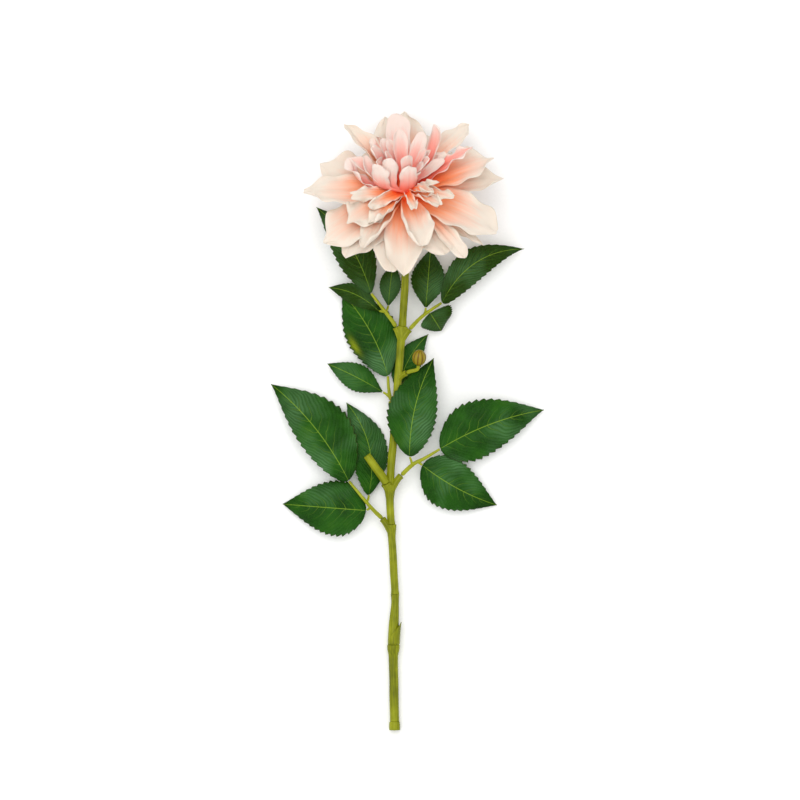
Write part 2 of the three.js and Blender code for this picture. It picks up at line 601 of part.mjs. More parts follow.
// A toothed leaflet: two triangles at each tooth, a bend line halfway out and a thicker midrib
function leafGeometry(leaf) {
  const at = leafSurface(leaf);
  const halfway = 0.55;
  const notch = 0.9;
  const places = [];
  const place = (u, v, thickness = BLADE) => places.push([u, v, thickness]) - 1;
  const triangles = [];
  const ribs = [];
  const bends = { [-1]: [], 1: [] };
  const edges = { [-1]: [], 1: [] };
  for (let i = 0; i <= LEAF_TEETH; i++) {
    const u = i / LEAF_TEETH;
    ribs.push(place(u, 0, 2 * BLADE));
    for (const side of [-1, 1]) {
      bends[side].push(place(u, side * halfway));
      edges[side].push(place(u, side * notch));
      if (i < LEAF_TEETH) edges[side].push(place(u + 0.8 / LEAF_TEETH, side));
    }
  }
  const facet = (side, a, b, c) => triangles.push(side > 0 ? [a, b, c] : [a, c, b]);
  for (const side of [-1, 1]) {
    const bend = bends[side];
    const edge = edges[side];
    for (let i = 0; i < LEAF_TEETH; i++) {
      facet(side, ribs[i], bend[i], bend[i + 1]);
      facet(side, ribs[i], bend[i + 1], ribs[i + 1]);
      facet(side, bend[i], edge[2 * i], edge[2 * i + 1]);
      facet(side, bend[i], edge[2 * i + 1], bend[i + 1]);
      facet(side, bend[i + 1], edge[2 * i + 1], edge[2 * i + 2]);
    }
  }
  const count = places.length;
  const positions = new Float32Array(6 * count);
  const nudge = 1e-3;
  places.forEach(([u, v, thickness], i) => {
    const middle = at(u, v);
    const along = at(Math.min(u + nudge, 1), v).sub(at(Math.max(u - nudge, 0), v));
    const across = at(u, v + nudge).sub(at(u, v - nudge));
    const normal = across.cross(along).normalize();
    middle.clone().addScaledVector(normal, BLADE / 2).toArray(positions, 3 * i);
    middle.clone().addScaledVector(normal, BLADE / 2 - thickness).toArray(positions, 3 * (count + i));
  });
  const index = triangles.flatMap(([a, b, c]) => [a, b, c, count + a, count + c, count + b]);
  const last = LEAF_TEETH;
  const rim = [
    ribs[0],
    bends[1][0],
    ...edges[1],
    bends[1][last],
    ribs[last],
    bends[-1][last],
    ...[...edges[-1]].reverse(),
    bends[-1][0],
  ];
  rim.forEach((a, i) => {
    const b = rim[(i + 1) % rim.length];
    index.push(a, count + a, count + b, a, count + b, b);
  });
  const geometry = new THREE.BufferGeometry();
  geometry.setAttribute("position", new THREE.BufferAttribute(positions, 3));
  geometry.setIndex(index);
  return geometry;
}

// A leaflet laid from its base to its tip, rolled about that line
function leafMesh(name, [base, tip, halfWidth, shape]) {
  const from = new THREE.Vector3(...base);
  const chord = new THREE.Vector3(...tip).sub(from);
  const leaf = {
    halfWidth,
    length: chord.length(),
    arch: 5,
    bow: 0,
    lean: 0,
    widest: 0.4,
    rounding: 0.6,
    point: 1,
    fold: 0.22,
    droop: 0.34,
    ripple: 1.2,
    phase: 0,
    roll: 0,
    ...shape,
  };
  const mesh = new THREE.Mesh(leafGeometry(leaf), leafGreen);
  const ahead = chord.normalize();
  const right = new THREE.Vector3(ahead.y, -ahead.x, 0).normalize();
  const up = new THREE.Vector3().crossVectors(right, ahead);
  mesh.quaternion.setFromRotationMatrix(new THREE.Matrix4().makeBasis(right, ahead, up));
  mesh.rotateY(radians(leaf.roll));
  mesh.position.copy(from);
  mesh.name = name;
  return mesh;
}

// The bract that clasps the stem's right side above its lowest node
function bract() {
  const from = -172;
  const length = 15;
  const spread = 1.2;
  return solidOf(
    blade(
      (u, v) => {
        const angle = spread * v * (1 - u ** 1.5) + 0.05 * v;
        const centre = stemCurve.getPoint(stemPlace(from + length * u));
        const radius = 4.3 + 0.9 * u * u;
        return new THREE.Vector3(centre.x + radius * cos(angle), centre.y, centre.z + radius * sin(angle));
      },
      4,
      4,
    ),
  );
}

// A length of stem with the arms that hold its stalks, clear of the next length above it
function stemWithArms(name) {
  const names = Object.keys(STEM_LENGTHS);
  const above = names[names.indexOf(name) + 1];
  const arms = Object.values(STALKS)
    .filter((stalk) => stalk.plugsInto === name)
    .map((stalk) => twig({ ...stalk, steps: 3 }, 0, stalk.socket, 0.7));
  const extras = name === "stem_2" ? [bract()] : arms;
  const others = above && extras.length ? [stemLength(STEM_LENGTHS[above], GAP)] : [];
  return cutClear(join([stemLength(STEM_LENGTHS[name]), ...extras]), others);
}

// A stalk past its socket, with its forks, clear of the stem
function stalkSolid(stalk) {
  const names = Object.keys(STEM_LENGTHS);
  const near = [stalk.plugsInto, names[names.indexOf(stalk.plugsInto) + 1]];
  const step = GAP / curveThrough(stalk.points).getLength();
  const forks = stalk.forks.map((fork) => twig({ ...fork, steps: 2 }));
  const whole = join([twig(stalk, stalk.socket + step, 1), ...forks]);
  return cutClear(whole, near.map((length) => stemLength(STEM_LENGTHS[length], GAP)));
}

// A round bud with its petals closed in ribs
function bud() {
  const ribs = 9;
  const geometry = new THREE.SphereGeometry(BUD_RADIUS, 2 * ribs, 7);
  const position = geometry.getAttribute("position");
  const point = new THREE.Vector3();
  for (let i = 0; i < position.count; i++) {
    point.fromBufferAttribute(position, i);
    const round = Math.atan2(point.z, point.x);
    const belly = 1 - abs(point.y / BUD_RADIUS);
    point.multiplyScalar(1 + 0.06 * belly * cos(ribs * round));
    position.setXYZ(i, point.x, BUD_STRETCH * point.y, point.z);
  }
  return solidOf(geometry);
}

const root = new THREE.Group();
function add(name, solid, material, parent = root) {
  const mesh = new THREE.Mesh(geometryOf(solid), material);
  mesh.name = name;
  parent.add(mesh);
  return mesh;
}

for (const name of Object.keys(STEM_LENGTHS)) add(name, stemWithArms(name), stemGreen);
for (const [name, stalk] of Object.entries(STALKS)) {
  add(name, stalkSolid(stalk), name === "side_shoot" ? stemGreen : twigGreen);
}
for (const [name, leaflet] of Object.entries(LEAFLETS)) root.add(leafMesh(`leaflet_${name}`, leaflet));
const budMesh = add("bud", bud(), budOlive);
budMesh.position.copy(BUD_CENTRE);
budMesh.quaternion.setFromUnitVectors(new THREE.Vector3(0, 1, 0), BUD_AXIS);

const bloom = new THREE.Group();
bloom.position.set(...BLOOM_SEAT);
bloom.rotation.x = -BLOOM_TILT;
root.add(bloom);
add("petals_outer", outerBloom([innerBloom(GAP), innerBloom()]), petalCream, bloom);
add("petals_inner", innerBloom(), petalPink, bloom);
add("calyx", calyx(), leafGreen, bloom);

export default root;
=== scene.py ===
# %% [markdown]
# # A dahlia spray, laid on its back
#
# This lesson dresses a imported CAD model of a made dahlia: one layered bloom on a moulded stem, with five
# sprays of toothed leaflets, a round bud and a cut side shoot. The CAD solids hold every piece's place and
# size. Here each one is built again as a fine surface that keeps its form, and gets the finish of the real
# material. Lengths are written in millimetres and turned into metres when a mesh is made.

import bpy
import numpy as np
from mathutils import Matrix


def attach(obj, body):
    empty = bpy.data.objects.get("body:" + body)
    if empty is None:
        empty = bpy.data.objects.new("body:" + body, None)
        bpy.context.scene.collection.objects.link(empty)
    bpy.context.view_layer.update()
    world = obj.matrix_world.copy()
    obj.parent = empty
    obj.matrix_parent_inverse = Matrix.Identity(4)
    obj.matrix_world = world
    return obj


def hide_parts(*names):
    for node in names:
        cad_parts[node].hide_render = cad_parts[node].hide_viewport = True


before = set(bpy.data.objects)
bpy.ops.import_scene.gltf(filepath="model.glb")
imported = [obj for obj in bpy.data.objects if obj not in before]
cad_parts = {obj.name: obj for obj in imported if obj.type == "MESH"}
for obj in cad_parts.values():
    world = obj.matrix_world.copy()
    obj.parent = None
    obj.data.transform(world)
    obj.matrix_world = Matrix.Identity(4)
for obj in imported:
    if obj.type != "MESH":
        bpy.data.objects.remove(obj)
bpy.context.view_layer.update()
MM = 0.001

# %% [markdown]
# ## Helpers for materials
#
# Colours are picked as sRGB hex values, the way a paint program shows them, but a shader mixes light, so
# one function turns them linear. Another adds a node with its settings and links, so that a material below
# reads as a short list of what is done to the colour. The sockets of the material's own shader are set in
# the same way.


# %% Colours and nodes
def linear(code):
    """An sRGB hex code as linear RGBA: c / 12.92 where dark, else ((c + 0.055) / 1.055) to the 2.4."""
    c = np.array([int(code[i : i + 2], 16) for i in (1, 3, 5)]) / 255
    return (*np.where(c <= 0.04045, c / 12.92, ((c + 0.055) / 1.055) ** 2.4).tolist(), 1.0)


def set_sockets(tree, node, inputs):
    """Gives each named socket a value, or links it to an output or to another node's first output."""
    for name, value in inputs.items():
        if isinstance(value, bpy.types.Node):
            value = value.outputs[0]
        if isinstance(value, bpy.types.NodeSocket):
            tree.links.new(value, node.inputs[name])
        else:
            node.inputs[name].default_value = value


def add_node(tree, kind, inputs=None, stops=(), **settings):
    """Adds a shader node. inputs go to its sockets, and stops are a colour ramp's places and colours."""
    made = tree.nodes.new(f"ShaderNode{kind}")
    for name, value in settings.items():
        setattr(made, name, value)
    set_sockets(tree, made, inputs or {})
    for i, (place, code) in enumerate(stops):
        band = made.color_ramp.elements
        stop = band[i] if i < 2 else band.new(place)
        stop.position = place
        stop.color = linear(code)
    return made


def new_material(name):
    """An empty material: its tree and its Principled shader."""
    material = bpy.data.materials.new(name)
    material.use_nodes = True
    return material, material.node_tree, material.node_tree.nodes["Principled BSDF"]


# %% [markdown]
# ## From arrays to meshes
#
# Every piece is worked out as whole arrays of points. A part is a dict: its points, its smooth faces, its
# flat faces (rims and cut ends, which stay crisp) and a value for each point under any name that a material
# reads. Parts that belong together become one Blender object, which sits at the origin with its place in
# its mesh.


# %% Mesh making
def unit(vectors):
    """Each vector divided by its length."""
    return vectors / np.maximum(np.linalg.norm(vectors, axis=-1, keepdims=True), 1e-12)


def volume_of(mesh):
    """A closed mesh's triangles and volume: six times the volume is the sum of a . (b x c) over them."""
    mesh.calc_loop_triangles()
    corners = np.empty(3 * len(mesh.loop_triangles), np.int32)
    mesh.loop_triangles.foreach_get("vertices", corners)
    points = np.empty(3 * len(mesh.vertices))
    mesh.vertices.foreach_get("co", points)
    a, b, c = points.reshape(-1, 3)[corners.reshape(-1, 3)].transpose(1, 0, 2)
    return len(corners) // 3, np.einsum("ij,ij->", a, np.cross(b, c)) / 6


def mesh_of(name, parts):
    """One mesh from parts, with their values as point attributes."""
    starts = np.cumsum([0] + [len(part["points"]) for part in parts])
    smooth = [face for part, start in zip(parts, starts) for face in (part["smooth"] + start).tolist()]
    flat = [(face + start).tolist() for part, start in zip(parts, starts) for face in part["flat"]]
    mesh = bpy.data.meshes.new(name)
    mesh.from_pydata((np.vstack([part["points"] for part in parts]) * MM).tolist(), [], smooth + flat)
    mesh.polygons.foreach_set("use_smooth", [True] * len(smooth) + [False] * len(flat))
    for key in parts[0].get("values", {}):
        values = np.concatenate([part["values"][key] for part in parts])
        kind, field = ("FLOAT", "value") if values.ndim == 1 else ("FLOAT_VECTOR", "vector")
        mesh.attributes.new(key, kind, "POINT").data.foreach_set(field, values.ravel().astype(np.float32))
    mesh.update()
    return mesh


def add_piece(name, parts, material, slot, *nodes):
    """Parts as one finished object, which stands for its CAD nodes and rides on the model's one body."""
    piece = bpy.data.objects.new(name, mesh_of(name, parts))
    bpy.context.scene.collection.objects.link(piece)
    piece.data.materials.append(material)
    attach(piece, "root")
    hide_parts(*nodes)
    triangles, volume = volume_of(piece.data)
    print(f"{name}: {triangles} triangles, {volume / MM ** 3:.0f} cubic mm")


# %% [markdown]
# ## Two ways to make a surface
#
# Petals and leaves are thin sheets: a grid of middle points, thickened both ways along its normal. Stems
# and stalks are rods: rings of points round a centre line, skinned with quads and closed at both ends. A
# bud and a calyx cup are rods too, along a straight line.


# %% Sheets and rods
def sheet(middle, thickness, **values):
    """A closed sheet on a grid of points, rows along and columns across.

    Its faces lie half the thickness either way along the normal, the cross product of the step along and
    the step across. A rim of flat quads joins them. The value "under" is 0 on top and 1 underneath."""
    rows, columns = middle.shape[:2]
    normal = unit(np.cross(np.gradient(middle, axis=0), np.gradient(middle, axis=1)))
    offset = normal * (np.broadcast_to(thickness, (rows, columns))[..., None] / 2)
    points = np.concatenate([(middle + offset).reshape(-1, 3), (middle - offset).reshape(-1, 3)])
    index = np.arange(rows * columns).reshape(rows, columns)
    top = np.stack([index[:-1, :-1], index[1:, :-1], index[1:, 1:], index[:-1, 1:]], -1).reshape(-1, 4)
    under = top[:, ::-1] + rows * columns
    edge = np.concatenate([index[:-1, 0][::-1], index[0, 1:], index[1:, -1], index[-1, :-1][::-1]])
    after = np.roll(edge, -1)
    rim = np.stack([edge, after, after + rows * columns, edge + rows * columns], -1)
    spread = {"under": np.repeat([0.0, 1.0], rows * columns)}
    for key, value in values.items():
        spread[key] = np.concatenate([value.reshape(rows * columns, *value.shape[2:])] * 2)
    return {"points": points, "smooth": np.concatenate([top, under]), "flat": rim, "values": spread}


def frames_of(centres):
    """A line's tangents, with side = (ty, -tx, 0) level across it and up = side x tangent."""
    tangent = unit(np.gradient(centres, axis=0))
    side = unit(np.stack([tangent[:, 1], -tangent[:, 0], 0 * tangent[:, 0]], 1))
    return tangent, side, np.cross(side, tangent)


def straight_frames(tangent, side, count):
    """The same for a straight line of so many rings, from its tangent and a side square to it."""
    tangent, side = (np.repeat(way[None], count, 0) for way in (tangent, side))
    return tangent, side, np.cross(side, tangent)


def rod(centres, radii, sides=28, rounding=0.25, axis_frame=None):
    """A closed rod: rings at centre + radius (cos a side + sin a up), with an eased edge at both ends.

    radii has a value for each ring, or for each ring and side."""
    tangent, side, up = axis_frame or frames_of(centres)
    radii = np.broadcast_to(np.reshape(radii, (len(centres), -1)), (len(centres), sides))
    ease = rounding * np.array([1.0, -1.0])[:, None]
    centres = np.concatenate([centres[:1], centres[:1] + ease[:1] * tangent[:1], centres[1:-1],
                              centres[-1:] + ease[1:] * tangent[-1:], centres[-1:]])
    radii = np.concatenate([radii[:1] - rounding, radii, radii[-1:] - rounding])
    side, up = (np.concatenate([axis[:1], axis, axis[-1:]]) for axis in (side, up))
    angle = np.linspace(0, 2 * np.pi, sides, endpoint=False)[None, :, None]
    out = np.cos(angle) * side[:, None] + np.sin(angle) * up[:, None]
    points = centres[:, None] + radii[..., None] * out
    index = np.arange(len(centres) * sides).reshape(-1, sides)
    beside = np.roll(index, -1, axis=1)
    skin = np.stack([index[:-1], index[1:], beside[1:], beside[:-1]], -1).reshape(-1, 4)
    return {"points": points.reshape(-1, 3), "smooth": skin, "flat": [index[0], index[-1][::-1]]}


def through(points, places):
    """Points at places from 0 to 1 along a smooth curve through the given points.

    It is the uniform Catmull-Rom cubic: between two points it leaves each one along half the step between
    that point's neighbours."""
    given = np.array(points, float)
    given = np.vstack([2 * given[0] - given[1], given, 2 * given[-1] - given[-2]])
    t = np.asarray(places, float) * (len(points) - 1)
    i = np.minimum(t.astype(int), len(points) - 2)
    f = (t - i)[:, None]
    a, b, c, d = (given[i + k] for k in range(4))
    return (2 * b + (c - a) * f + (2 * a - 5 * b + 4 * c - d) * f**2 + (3 * b - a - 3 * c + d) * f**3) / 2


# %% [markdown]
# ## The stem's line and its lengths
#
# The real stem is soft plastic moulded round a wire, in lengths that plug into one another. It lies on the
# table at its cut end, rises a little towards the bloom and turns up into it at the neck. The route and the
# rings are the CAD model's own, chosen from the photograph.

# %% Stem sizes
STEM_ROUTE = [
    (-10.1, -246, 4.2), (-10.1, -234, 4.2), (-10.9, -184, 5.8), (-10.6, -160, 6.8), (-9.7, -136, 7.8),
    (-11.6, -100, 9.3), (-13.6, -62, 10.9), (-13.2, -42, 11.8), (-9.7, 2, 13.6), (-6.6, 42, 15.3),
    (-3.9, 76, 16.8), (-2.3, 100, 18), (-1.6, 122, 19.4), (-2, 138, 21.2), (-2.5, 150, 24.6),
    (-2.8, 160, 31), (-2.9, 169, 39.5),
]
# each length as rings (y, radius)
STEM_LENGTHS = {
    "stem_foot": [(-241, 4.3), (-235.2, 4.3), (-234.6, 3.9)],
    "stem_1": [(-234.3, 3.65), (-205, 3.6), (-183, 3.7), (-177, 4.9), (-174.5, 4.9)],
    "stem_2": [(-174.2, 4.5), (-171, 4.6), (-163, 4.2), (-142, 3.05), (-137, 3.2), (-134.9, 3.5)],
    "stem_3": [(-134.6, 3.5), (-132, 3.1), (-110, 3.05), (-90, 3.1), (-83, 4), (-80.4, 4.3)],
    "stem_4": [(-80.1, 3.4), (-76, 3.05), (-60, 3.1), (-54, 4.2), (-49.2, 4.8)],
    "stem_5": [(-48.9, 3.3), (-42, 3.15), (-10, 3.1), (30, 3.1), (64, 3.15), (70, 3.9), (74.3, 4)],
    "stem_6": [(74.6, 3.2), (80, 3), (135, 3), (159, 3), (165, 3.1)],
}
BUD_RADIUS = 5.5
BUD_STRETCH = 1.16
BUD_CENTRE = np.array([9.1, 50, 25])
BUD_AXIS = unit(np.array([0.08, 0.9, 0.42]))
BUD_SEAT = tuple(BUD_CENTRE - (BUD_RADIUS * BUD_STRETCH + 0.3) * BUD_AXIS)
# each stalk: the length that it plugs into, its radii at base and tip, the share of its route that the
# socket covers, the route, and its forks as route and radii
STALKS = {
    "stalk_low_left": (
        "stem_3", (2.2, 1), 0.3,
        [(-13, -86, 9.9), (-18.4, -77, 11), (-25.2, -70.2, 12.6), (-32.3, -62.2, 14), (-45.6, -46.2, 15)],
        [([(-31.6, -62.4, 13.8), (-30.6, -60, 12.2), (-30.2, -57.4, 10.2)], (1.1, 0.9)),
         ([(-28.4, -66.6, 13.2), (-30, -67.8, 12.8), (-31.7, -68.8, 12.2)], (1.2, 0.9))]),
    "stalk_low_right": (
        "stem_4", (2.2, 1), 0.3,
        [(-12.6, -53, 11.2), (-6.8, -44, 13), (4, -33.4, 15.4), (13, -28.6, 15.6), (25.2, -21.2, 14.8)],
        [([(3.8, -33.6, 15.4), (2.8, -30, 16.8), (1.8, -27.4, 17.6)], (1.1, 0.9)),
         ([(8, -31, 15.4), (10, -32.4, 14.4), (11.3, -33.6, 13.2)], (1.1, 0.9))]),
    "stalk_middle": (
        "stem_5", (1.9, 1), 0.3,
        [(-8.6, 8, 13.2), (-13, 17.4, 11.4), (-14.6, 26, 10), (-15.2, 35.6, 9.2)],
        [([(-13.2, 18.4, 11.2), (-16.4, 21.4, 10.6), (-19, 23.2, 10)], (1.1, 0.9)),
         ([(-13.2, 17.8, 10.8), (-10.2, 20.4, 8.6), (-7.6, 22.6, 7.6)], (1, 0.9))]),
    "stalk_upper_left": (
        "stem_5", (2.1, 1), 0.3,
        [(-4.4, 62, 16.2), (-9.6, 75, 17.4), (-17.4, 86, 17.8), (-28.2, 100, 17.4)],
        [([(-17, 85.4, 17.8), (-19.6, 86, 17), (-21.8, 86.3, 16.2)], (1, 0.9)),
         ([(-17, 85.4, 17.6), (-15.6, 88, 15.4), (-15, 90.4, 13)], (1, 0.9))]),
    "stalk_upper_right": (
        "stem_5", (2.1, 1), 0.3,
        [(-4.6, 64, 16.4), (2.4, 73, 18.2), (12.8, 83.2, 19), (26.6, 92.8, 18)],
        [([(12.6, 83, 19), (13.8, 86, 18.6), (14.2, 88.8, 17.6)], (1, 0.9)),
         ([(14.2, 84.4, 19), (15.8, 85, 18.2), (17, 85.2, 17.4)], (1, 0.9))]),
    "bud_stalk": (
        "stem_5", (1.7, 1.3), 0.3,
        [(-7.2, 33.6, 14.9), (-3.2, 36.8, 17.4), (1.6, 39.2, 19.6), (6, 40.2, 20.8), (8.1, 41.4, 21.1),
         BUD_SEAT],
        []),
    "side_shoot": (
        "stem_4", (3.6, 3), 0.18,
        [(-14, -52.4, 11.2), (-19, -43.6, 14.4), (-25.2, -35, 16.6), (-31.6, -26.1, 18)],
        []),
}
stem_line = through(STEM_ROUTE, np.linspace(0, 1, 3000))
print("stem length in mm:", round(np.linalg.norm(np.diff(stem_line, axis=0), axis=1).sum(), 1))


def stem_centres(y):
    """Points of the stem's line at heights y, read off the sampled curve."""
    return np.stack([np.interp(y, stem_line[:, 1], stem_line[:, k]) for k in range(3)], 1)


# %% [markdown]
# ## Moulded rods with grooves
#
# A moulded stem has long shallow grooves and a slightly uneven girth. Where an arm leaves it, the plastic
# runs from one into the other without a seam. So the crossing rods are fused into one skin by a voxel
# remesh and smoothed, and the grooves are pressed in afterwards, so that the fusing can't wipe them out.
# Each point also learns where it lies along and round its own rod, and the plastic's streaks follow that.


# %% Fusing and grooving
def fused(parts, voxel):
    """Crossing parts as one skin: a voxel remesh, then three rounds of smoothing."""
    rough = bpy.data.objects.new("rough", mesh_of("rough", parts))
    bpy.context.scene.collection.objects.link(rough)
    remesh = rough.modifiers.new("skin", "REMESH")
    remesh.mode = "VOXEL"
    remesh.voxel_size = voxel * MM
    smooth = rough.modifiers.new("ease", "SMOOTH")
    smooth.iterations = 3
    skin = bpy.data.meshes.new_from_object(rough.evaluated_get(bpy.context.evaluated_depsgraph_get()))
    points = np.empty(3 * len(skin.vertices))
    skin.vertices.foreach_get("co", points)
    corners = np.empty(len(skin.loops), np.int32)
    skin.loops.foreach_get("vertex_index", corners)
    bpy.data.objects.remove(rough)
    return {"points": points.reshape(-1, 3) / MM, "smooth": corners.reshape(-1, 4), "flat": []}


def grooved(part, lines, depth, grooves=5):
    """Presses grooves into a part and tells each point its run, in m along, beside and above its line.

    The radius falls by depth times e to the -(sin(grooves a / 2 + drift) / 0.35) squared, where a is the
    angle round the line and the drift follows a slow wave along it, and swells by a slow wave of a tenth of
    a mm."""
    centres = np.vstack(lines)
    frames = [np.vstack(axis) for axis in zip(*map(frames_of, lines))]
    lengths = [np.linalg.norm(np.diff(line, axis=0, prepend=line[:1]), axis=1).cumsum() for line in lines]
    points = part["points"]
    gap = (points**2).sum(1)[:, None] + (centres**2).sum(1) - 2 * points @ centres.T
    near = gap.argmin(1)
    offset = points - centres[near]
    run = np.stack([np.einsum("ij,ij->i", offset, axis[near]) for axis in frames], 1)
    run[:, 0] += np.concatenate(lengths)[near]
    angle = np.arctan2(run[:, 2], run[:, 1])
    drift = 0.5 * np.sin(run[:, 0] / 17) + 0.3 * np.sin(run[:, 0] / 7.3)
    dip = depth * np.exp(-((np.sin(grooves * angle / 2 + drift) / 0.35) ** 2))
    swell = 0.1 * np.sin(run[:, 0] / 5.1 + 2 * np.cos(angle))
    out = unit(frames[1][near] * run[:, 1:2] + frames[2][near] * run[:, 2:3])
    part["points"] = points + out * (swell * depth / 0.2 - dip)[:, None]
    part["values"] = {"run": run * MM}
    return part


# %% Rods of the stem and its stalks
JOINT_GAP = 0.28  # from the end of a length's rings to the next one's foot
RING_STEP = 0.8
EASING = 1  # either way, over which a ring's radius is a mean


def length_rod(name):
    """A length of stem up to the next one's foot, each radius the mean over a millimetre either way."""
    rings = np.array(STEM_LENGTHS[name], float)
    y = np.linspace(rings[0, 0], rings[-1, 0] + JOINT_GAP, max(12, int(np.ptp(rings[:, 0]) / RING_STEP)))
    radii = np.mean([np.interp(y + shift, *rings.T) for shift in np.linspace(-EASING, EASING, 7)], 0)
    return rod(stem_centres(y), radii), stem_centres(y)


def stalk_rod(route, radii, start=0.0, end=1.0, extra=0.0, lip=0.0, neck=0.0):
    """A tapering rod along part of a route, with a lip at its far end or a slimmer neck at its near one."""
    places = np.linspace(start, end, 40)
    centres = through(route, places)
    far = np.linalg.norm(centres - centres[-1], axis=1)
    near = np.linalg.norm(centres - centres[0], axis=1)
    girth = radii[0] + (radii[1] - radii[0]) * places + extra
    girth = girth + lip * np.exp(-((far - 0.7) ** 2) / 0.5) - neck * np.exp(-((near / 0.9) ** 4))
    return rod(centres, girth, sides=20), centres


# %% [markdown]
# ## Plastic for stem, stalks, bud and calyx
#
# Soft polyethylene, moulded and then brushed with a thin olive tint. It is smooth and a little waxy: a
# roughness near a half, the common IOR of 1.5, and streaks of tint that run with the length.


# %% Moulded plastic
def moulded_polyethylene(name, light, main, dark):
    """Streaks 1 mm wide and 25 mm long, with a faint bump, and blotches 17 mm across, in three tints."""
    material, tree, shader = new_material(name)
    run = add_node(tree, "Attribute", attribute_name="run")
    stretched = add_node(tree, "Mapping", {0: run.outputs["Vector"], "Scale": (40, 1000, 1000)})
    streaks = add_node(tree, "TexNoise", {"Vector": stretched, "Scale": 1.0, "Detail": 4.0})
    place = add_node(tree, "TexCoord")
    blotches = add_node(tree, "TexNoise", {"Vector": place.outputs["Object"], "Scale": 60.0, "Detail": 3.0})
    both = add_node(tree, "Math", {0: streaks, 1: blotches}, operation="ADD")
    share = add_node(tree, "Math", {0: both, 1: 0.5}, operation="MULTIPLY")
    tint = add_node(tree, "ValToRGB", {0: share}, [(0.36, dark), (0.5, main), (0.64, light)])
    bump = add_node(tree, "Bump", {"Height": streaks, "Strength": 0.6, "Distance": 0.2 * MM})
    set_sockets(tree, shader, {"Base Color": tint, "Normal": bump, "Roughness": 0.46,
                               "Specular IOR Level": 0.2})
    return material


stem_plastic = moulded_polyethylene("olive_tinted_polyethylene", "#979C1C", "#7C8206", "#5C6204")
twig_plastic = moulded_polyethylene("yellow_green_polyethylene", "#B0B43A", "#949A1A", "#757C0C")

# %% [markdown]
# ## The stem, its arms and the bract
#
# Each length is a rod. Three of them carry arms that hold the stalks, and those are fused. The second
# length has a thin bract that clasps it: a sheet wrapped round the stem that narrows to a point standing
# off it.


# %% Stem pieces
BRACT_FOOT = -173.5
BRACT_LENGTH = 17
BRACT_STEPS = 24


def bract():
    """A sheet round the stem: at its foot it spans from -1.2 to 2.4 radians, and it closes nearly to a
    point as 1 - 0.97 u to the 1.6. Its radius is 4.75 + 0.9 u squared."""
    steps = np.linspace(0, 1, BRACT_STEPS)
    u, v = np.meshgrid(steps, steps, indexing="ij")
    angle = 0.1 + (-1.3 + 3.6 * v) * (1 - 0.97 * u**1.6)
    centres = stem_centres((BRACT_FOOT + BRACT_LENGTH * u).ravel()).reshape(*u.shape, 3)
    radius = 4.75 + 0.9 * u**2
    around = np.stack([np.cos(angle), 0 * angle, np.sin(angle)], -1)
    return sheet((centres + radius[..., None] * around)[:, ::-1], 0.5)


for name in STEM_LENGTHS:
    part, line = length_rod(name)
    parts = [part]
    lines = [line]
    arms = [s for s in STALKS.values() if s[0] == name]
    for _, radii, socket, route, _ in arms:
        arm, arm_line = stalk_rod(route, radii, 0, socket, extra=0.7, lip=0.3)
        parts.append(arm)
        lines.append(arm_line)
    if arms:
        part = fused(parts, 0.35)
    part = grooved(part, lines, 0.2)
    # the swell of the foot stays above the table
    part["points"][:, 2] = np.maximum(part["points"][:, 2], 0)
    parts = [part]
    if name == "stem_2":
        wrap = bract()
        wrap["values"] = {"run": wrap["points"][:, [1, 0, 2]] * MM}
        parts.append(wrap)
    add_piece(f"{name}_skin", parts, stem_plastic, "stem", name)

# %% [markdown]
# ## Stalks and the cut side shoot
#
# A leaf stalk starts as a thick sleeve, plugged into its arm by a slimmer neck, and forks near its end to
# three leaflets. The bud's stalk doesn't fork. The side shoot is a stalk that was cut off short.

# %% Stalk pieces
for name, (_, radii, socket, route, forks) in STALKS.items():
    slim = 0 if name == "side_shoot" else 0.45
    main, line = stalk_rod(route, radii, socket + 0.01, 1, neck=slim)
    branches = [stalk_rod(*fork) for fork in forks]
    parts = [main] + [branch for branch, _ in branches]
    lines = [line] + [centres for _, centres in branches]
    part = fused(parts, 0.25) if branches else main
    material, slot = (stem_plastic, "stem") if name == "side_shoot" else (twig_plastic, "stalk")
    add_piece(f"{name}_skin", [grooved(part, lines, 0.12, 4)], material, slot, name)

# %% [markdown]
# ## The bud
#
# A round bud of closed petals: a ball with nine ribs that meet at its tip, where they draw in. The furrows
# between the ribs are sharp and the ribs are round, so the ribbing is the absolute value of a cosine.

# %% Bud piece
BUD_RINGS = 60
RIBS = 9
RIB_STEPS = 12
POLE = 0.04  # radians short of the bud's two poles, where its end faces close it
DRAWN_IN = 2.8  # radians from the stalk beyond which the tip is drawn in
bud_sides = RIBS * RIB_STEPS
turn = np.linspace(POLE, np.pi - POLE, BUD_RINGS)
around = np.linspace(0, 2 * np.pi, bud_sides, endpoint=False)
ribs = np.abs(np.cos(RIBS / 2 * around)) ** 0.7
belly = np.sin(turn)[:, None] ** 0.6
bud_radii = BUD_RADIUS * np.sin(turn)[:, None] * (0.97 + 0.09 * belly * (ribs - 0.55))
reach = -BUD_RADIUS * BUD_STRETCH * np.cos(turn) * np.where(turn > DRAWN_IN, 0.985, 1)
bud_line = BUD_CENTRE + reach[:, None] * BUD_AXIS
bud_side = unit(np.array([BUD_AXIS[1], -BUD_AXIS[0], 0]))
bud_part = rod(bud_line, bud_radii, bud_sides, 0.02, straight_frames(BUD_AXIS, bud_side, BUD_RINGS))
bud_part["values"] = {"run": bud_part["points"] * MM, "rib_highlight_and_shade": np.tile(ribs, BUD_RINGS + 2)}


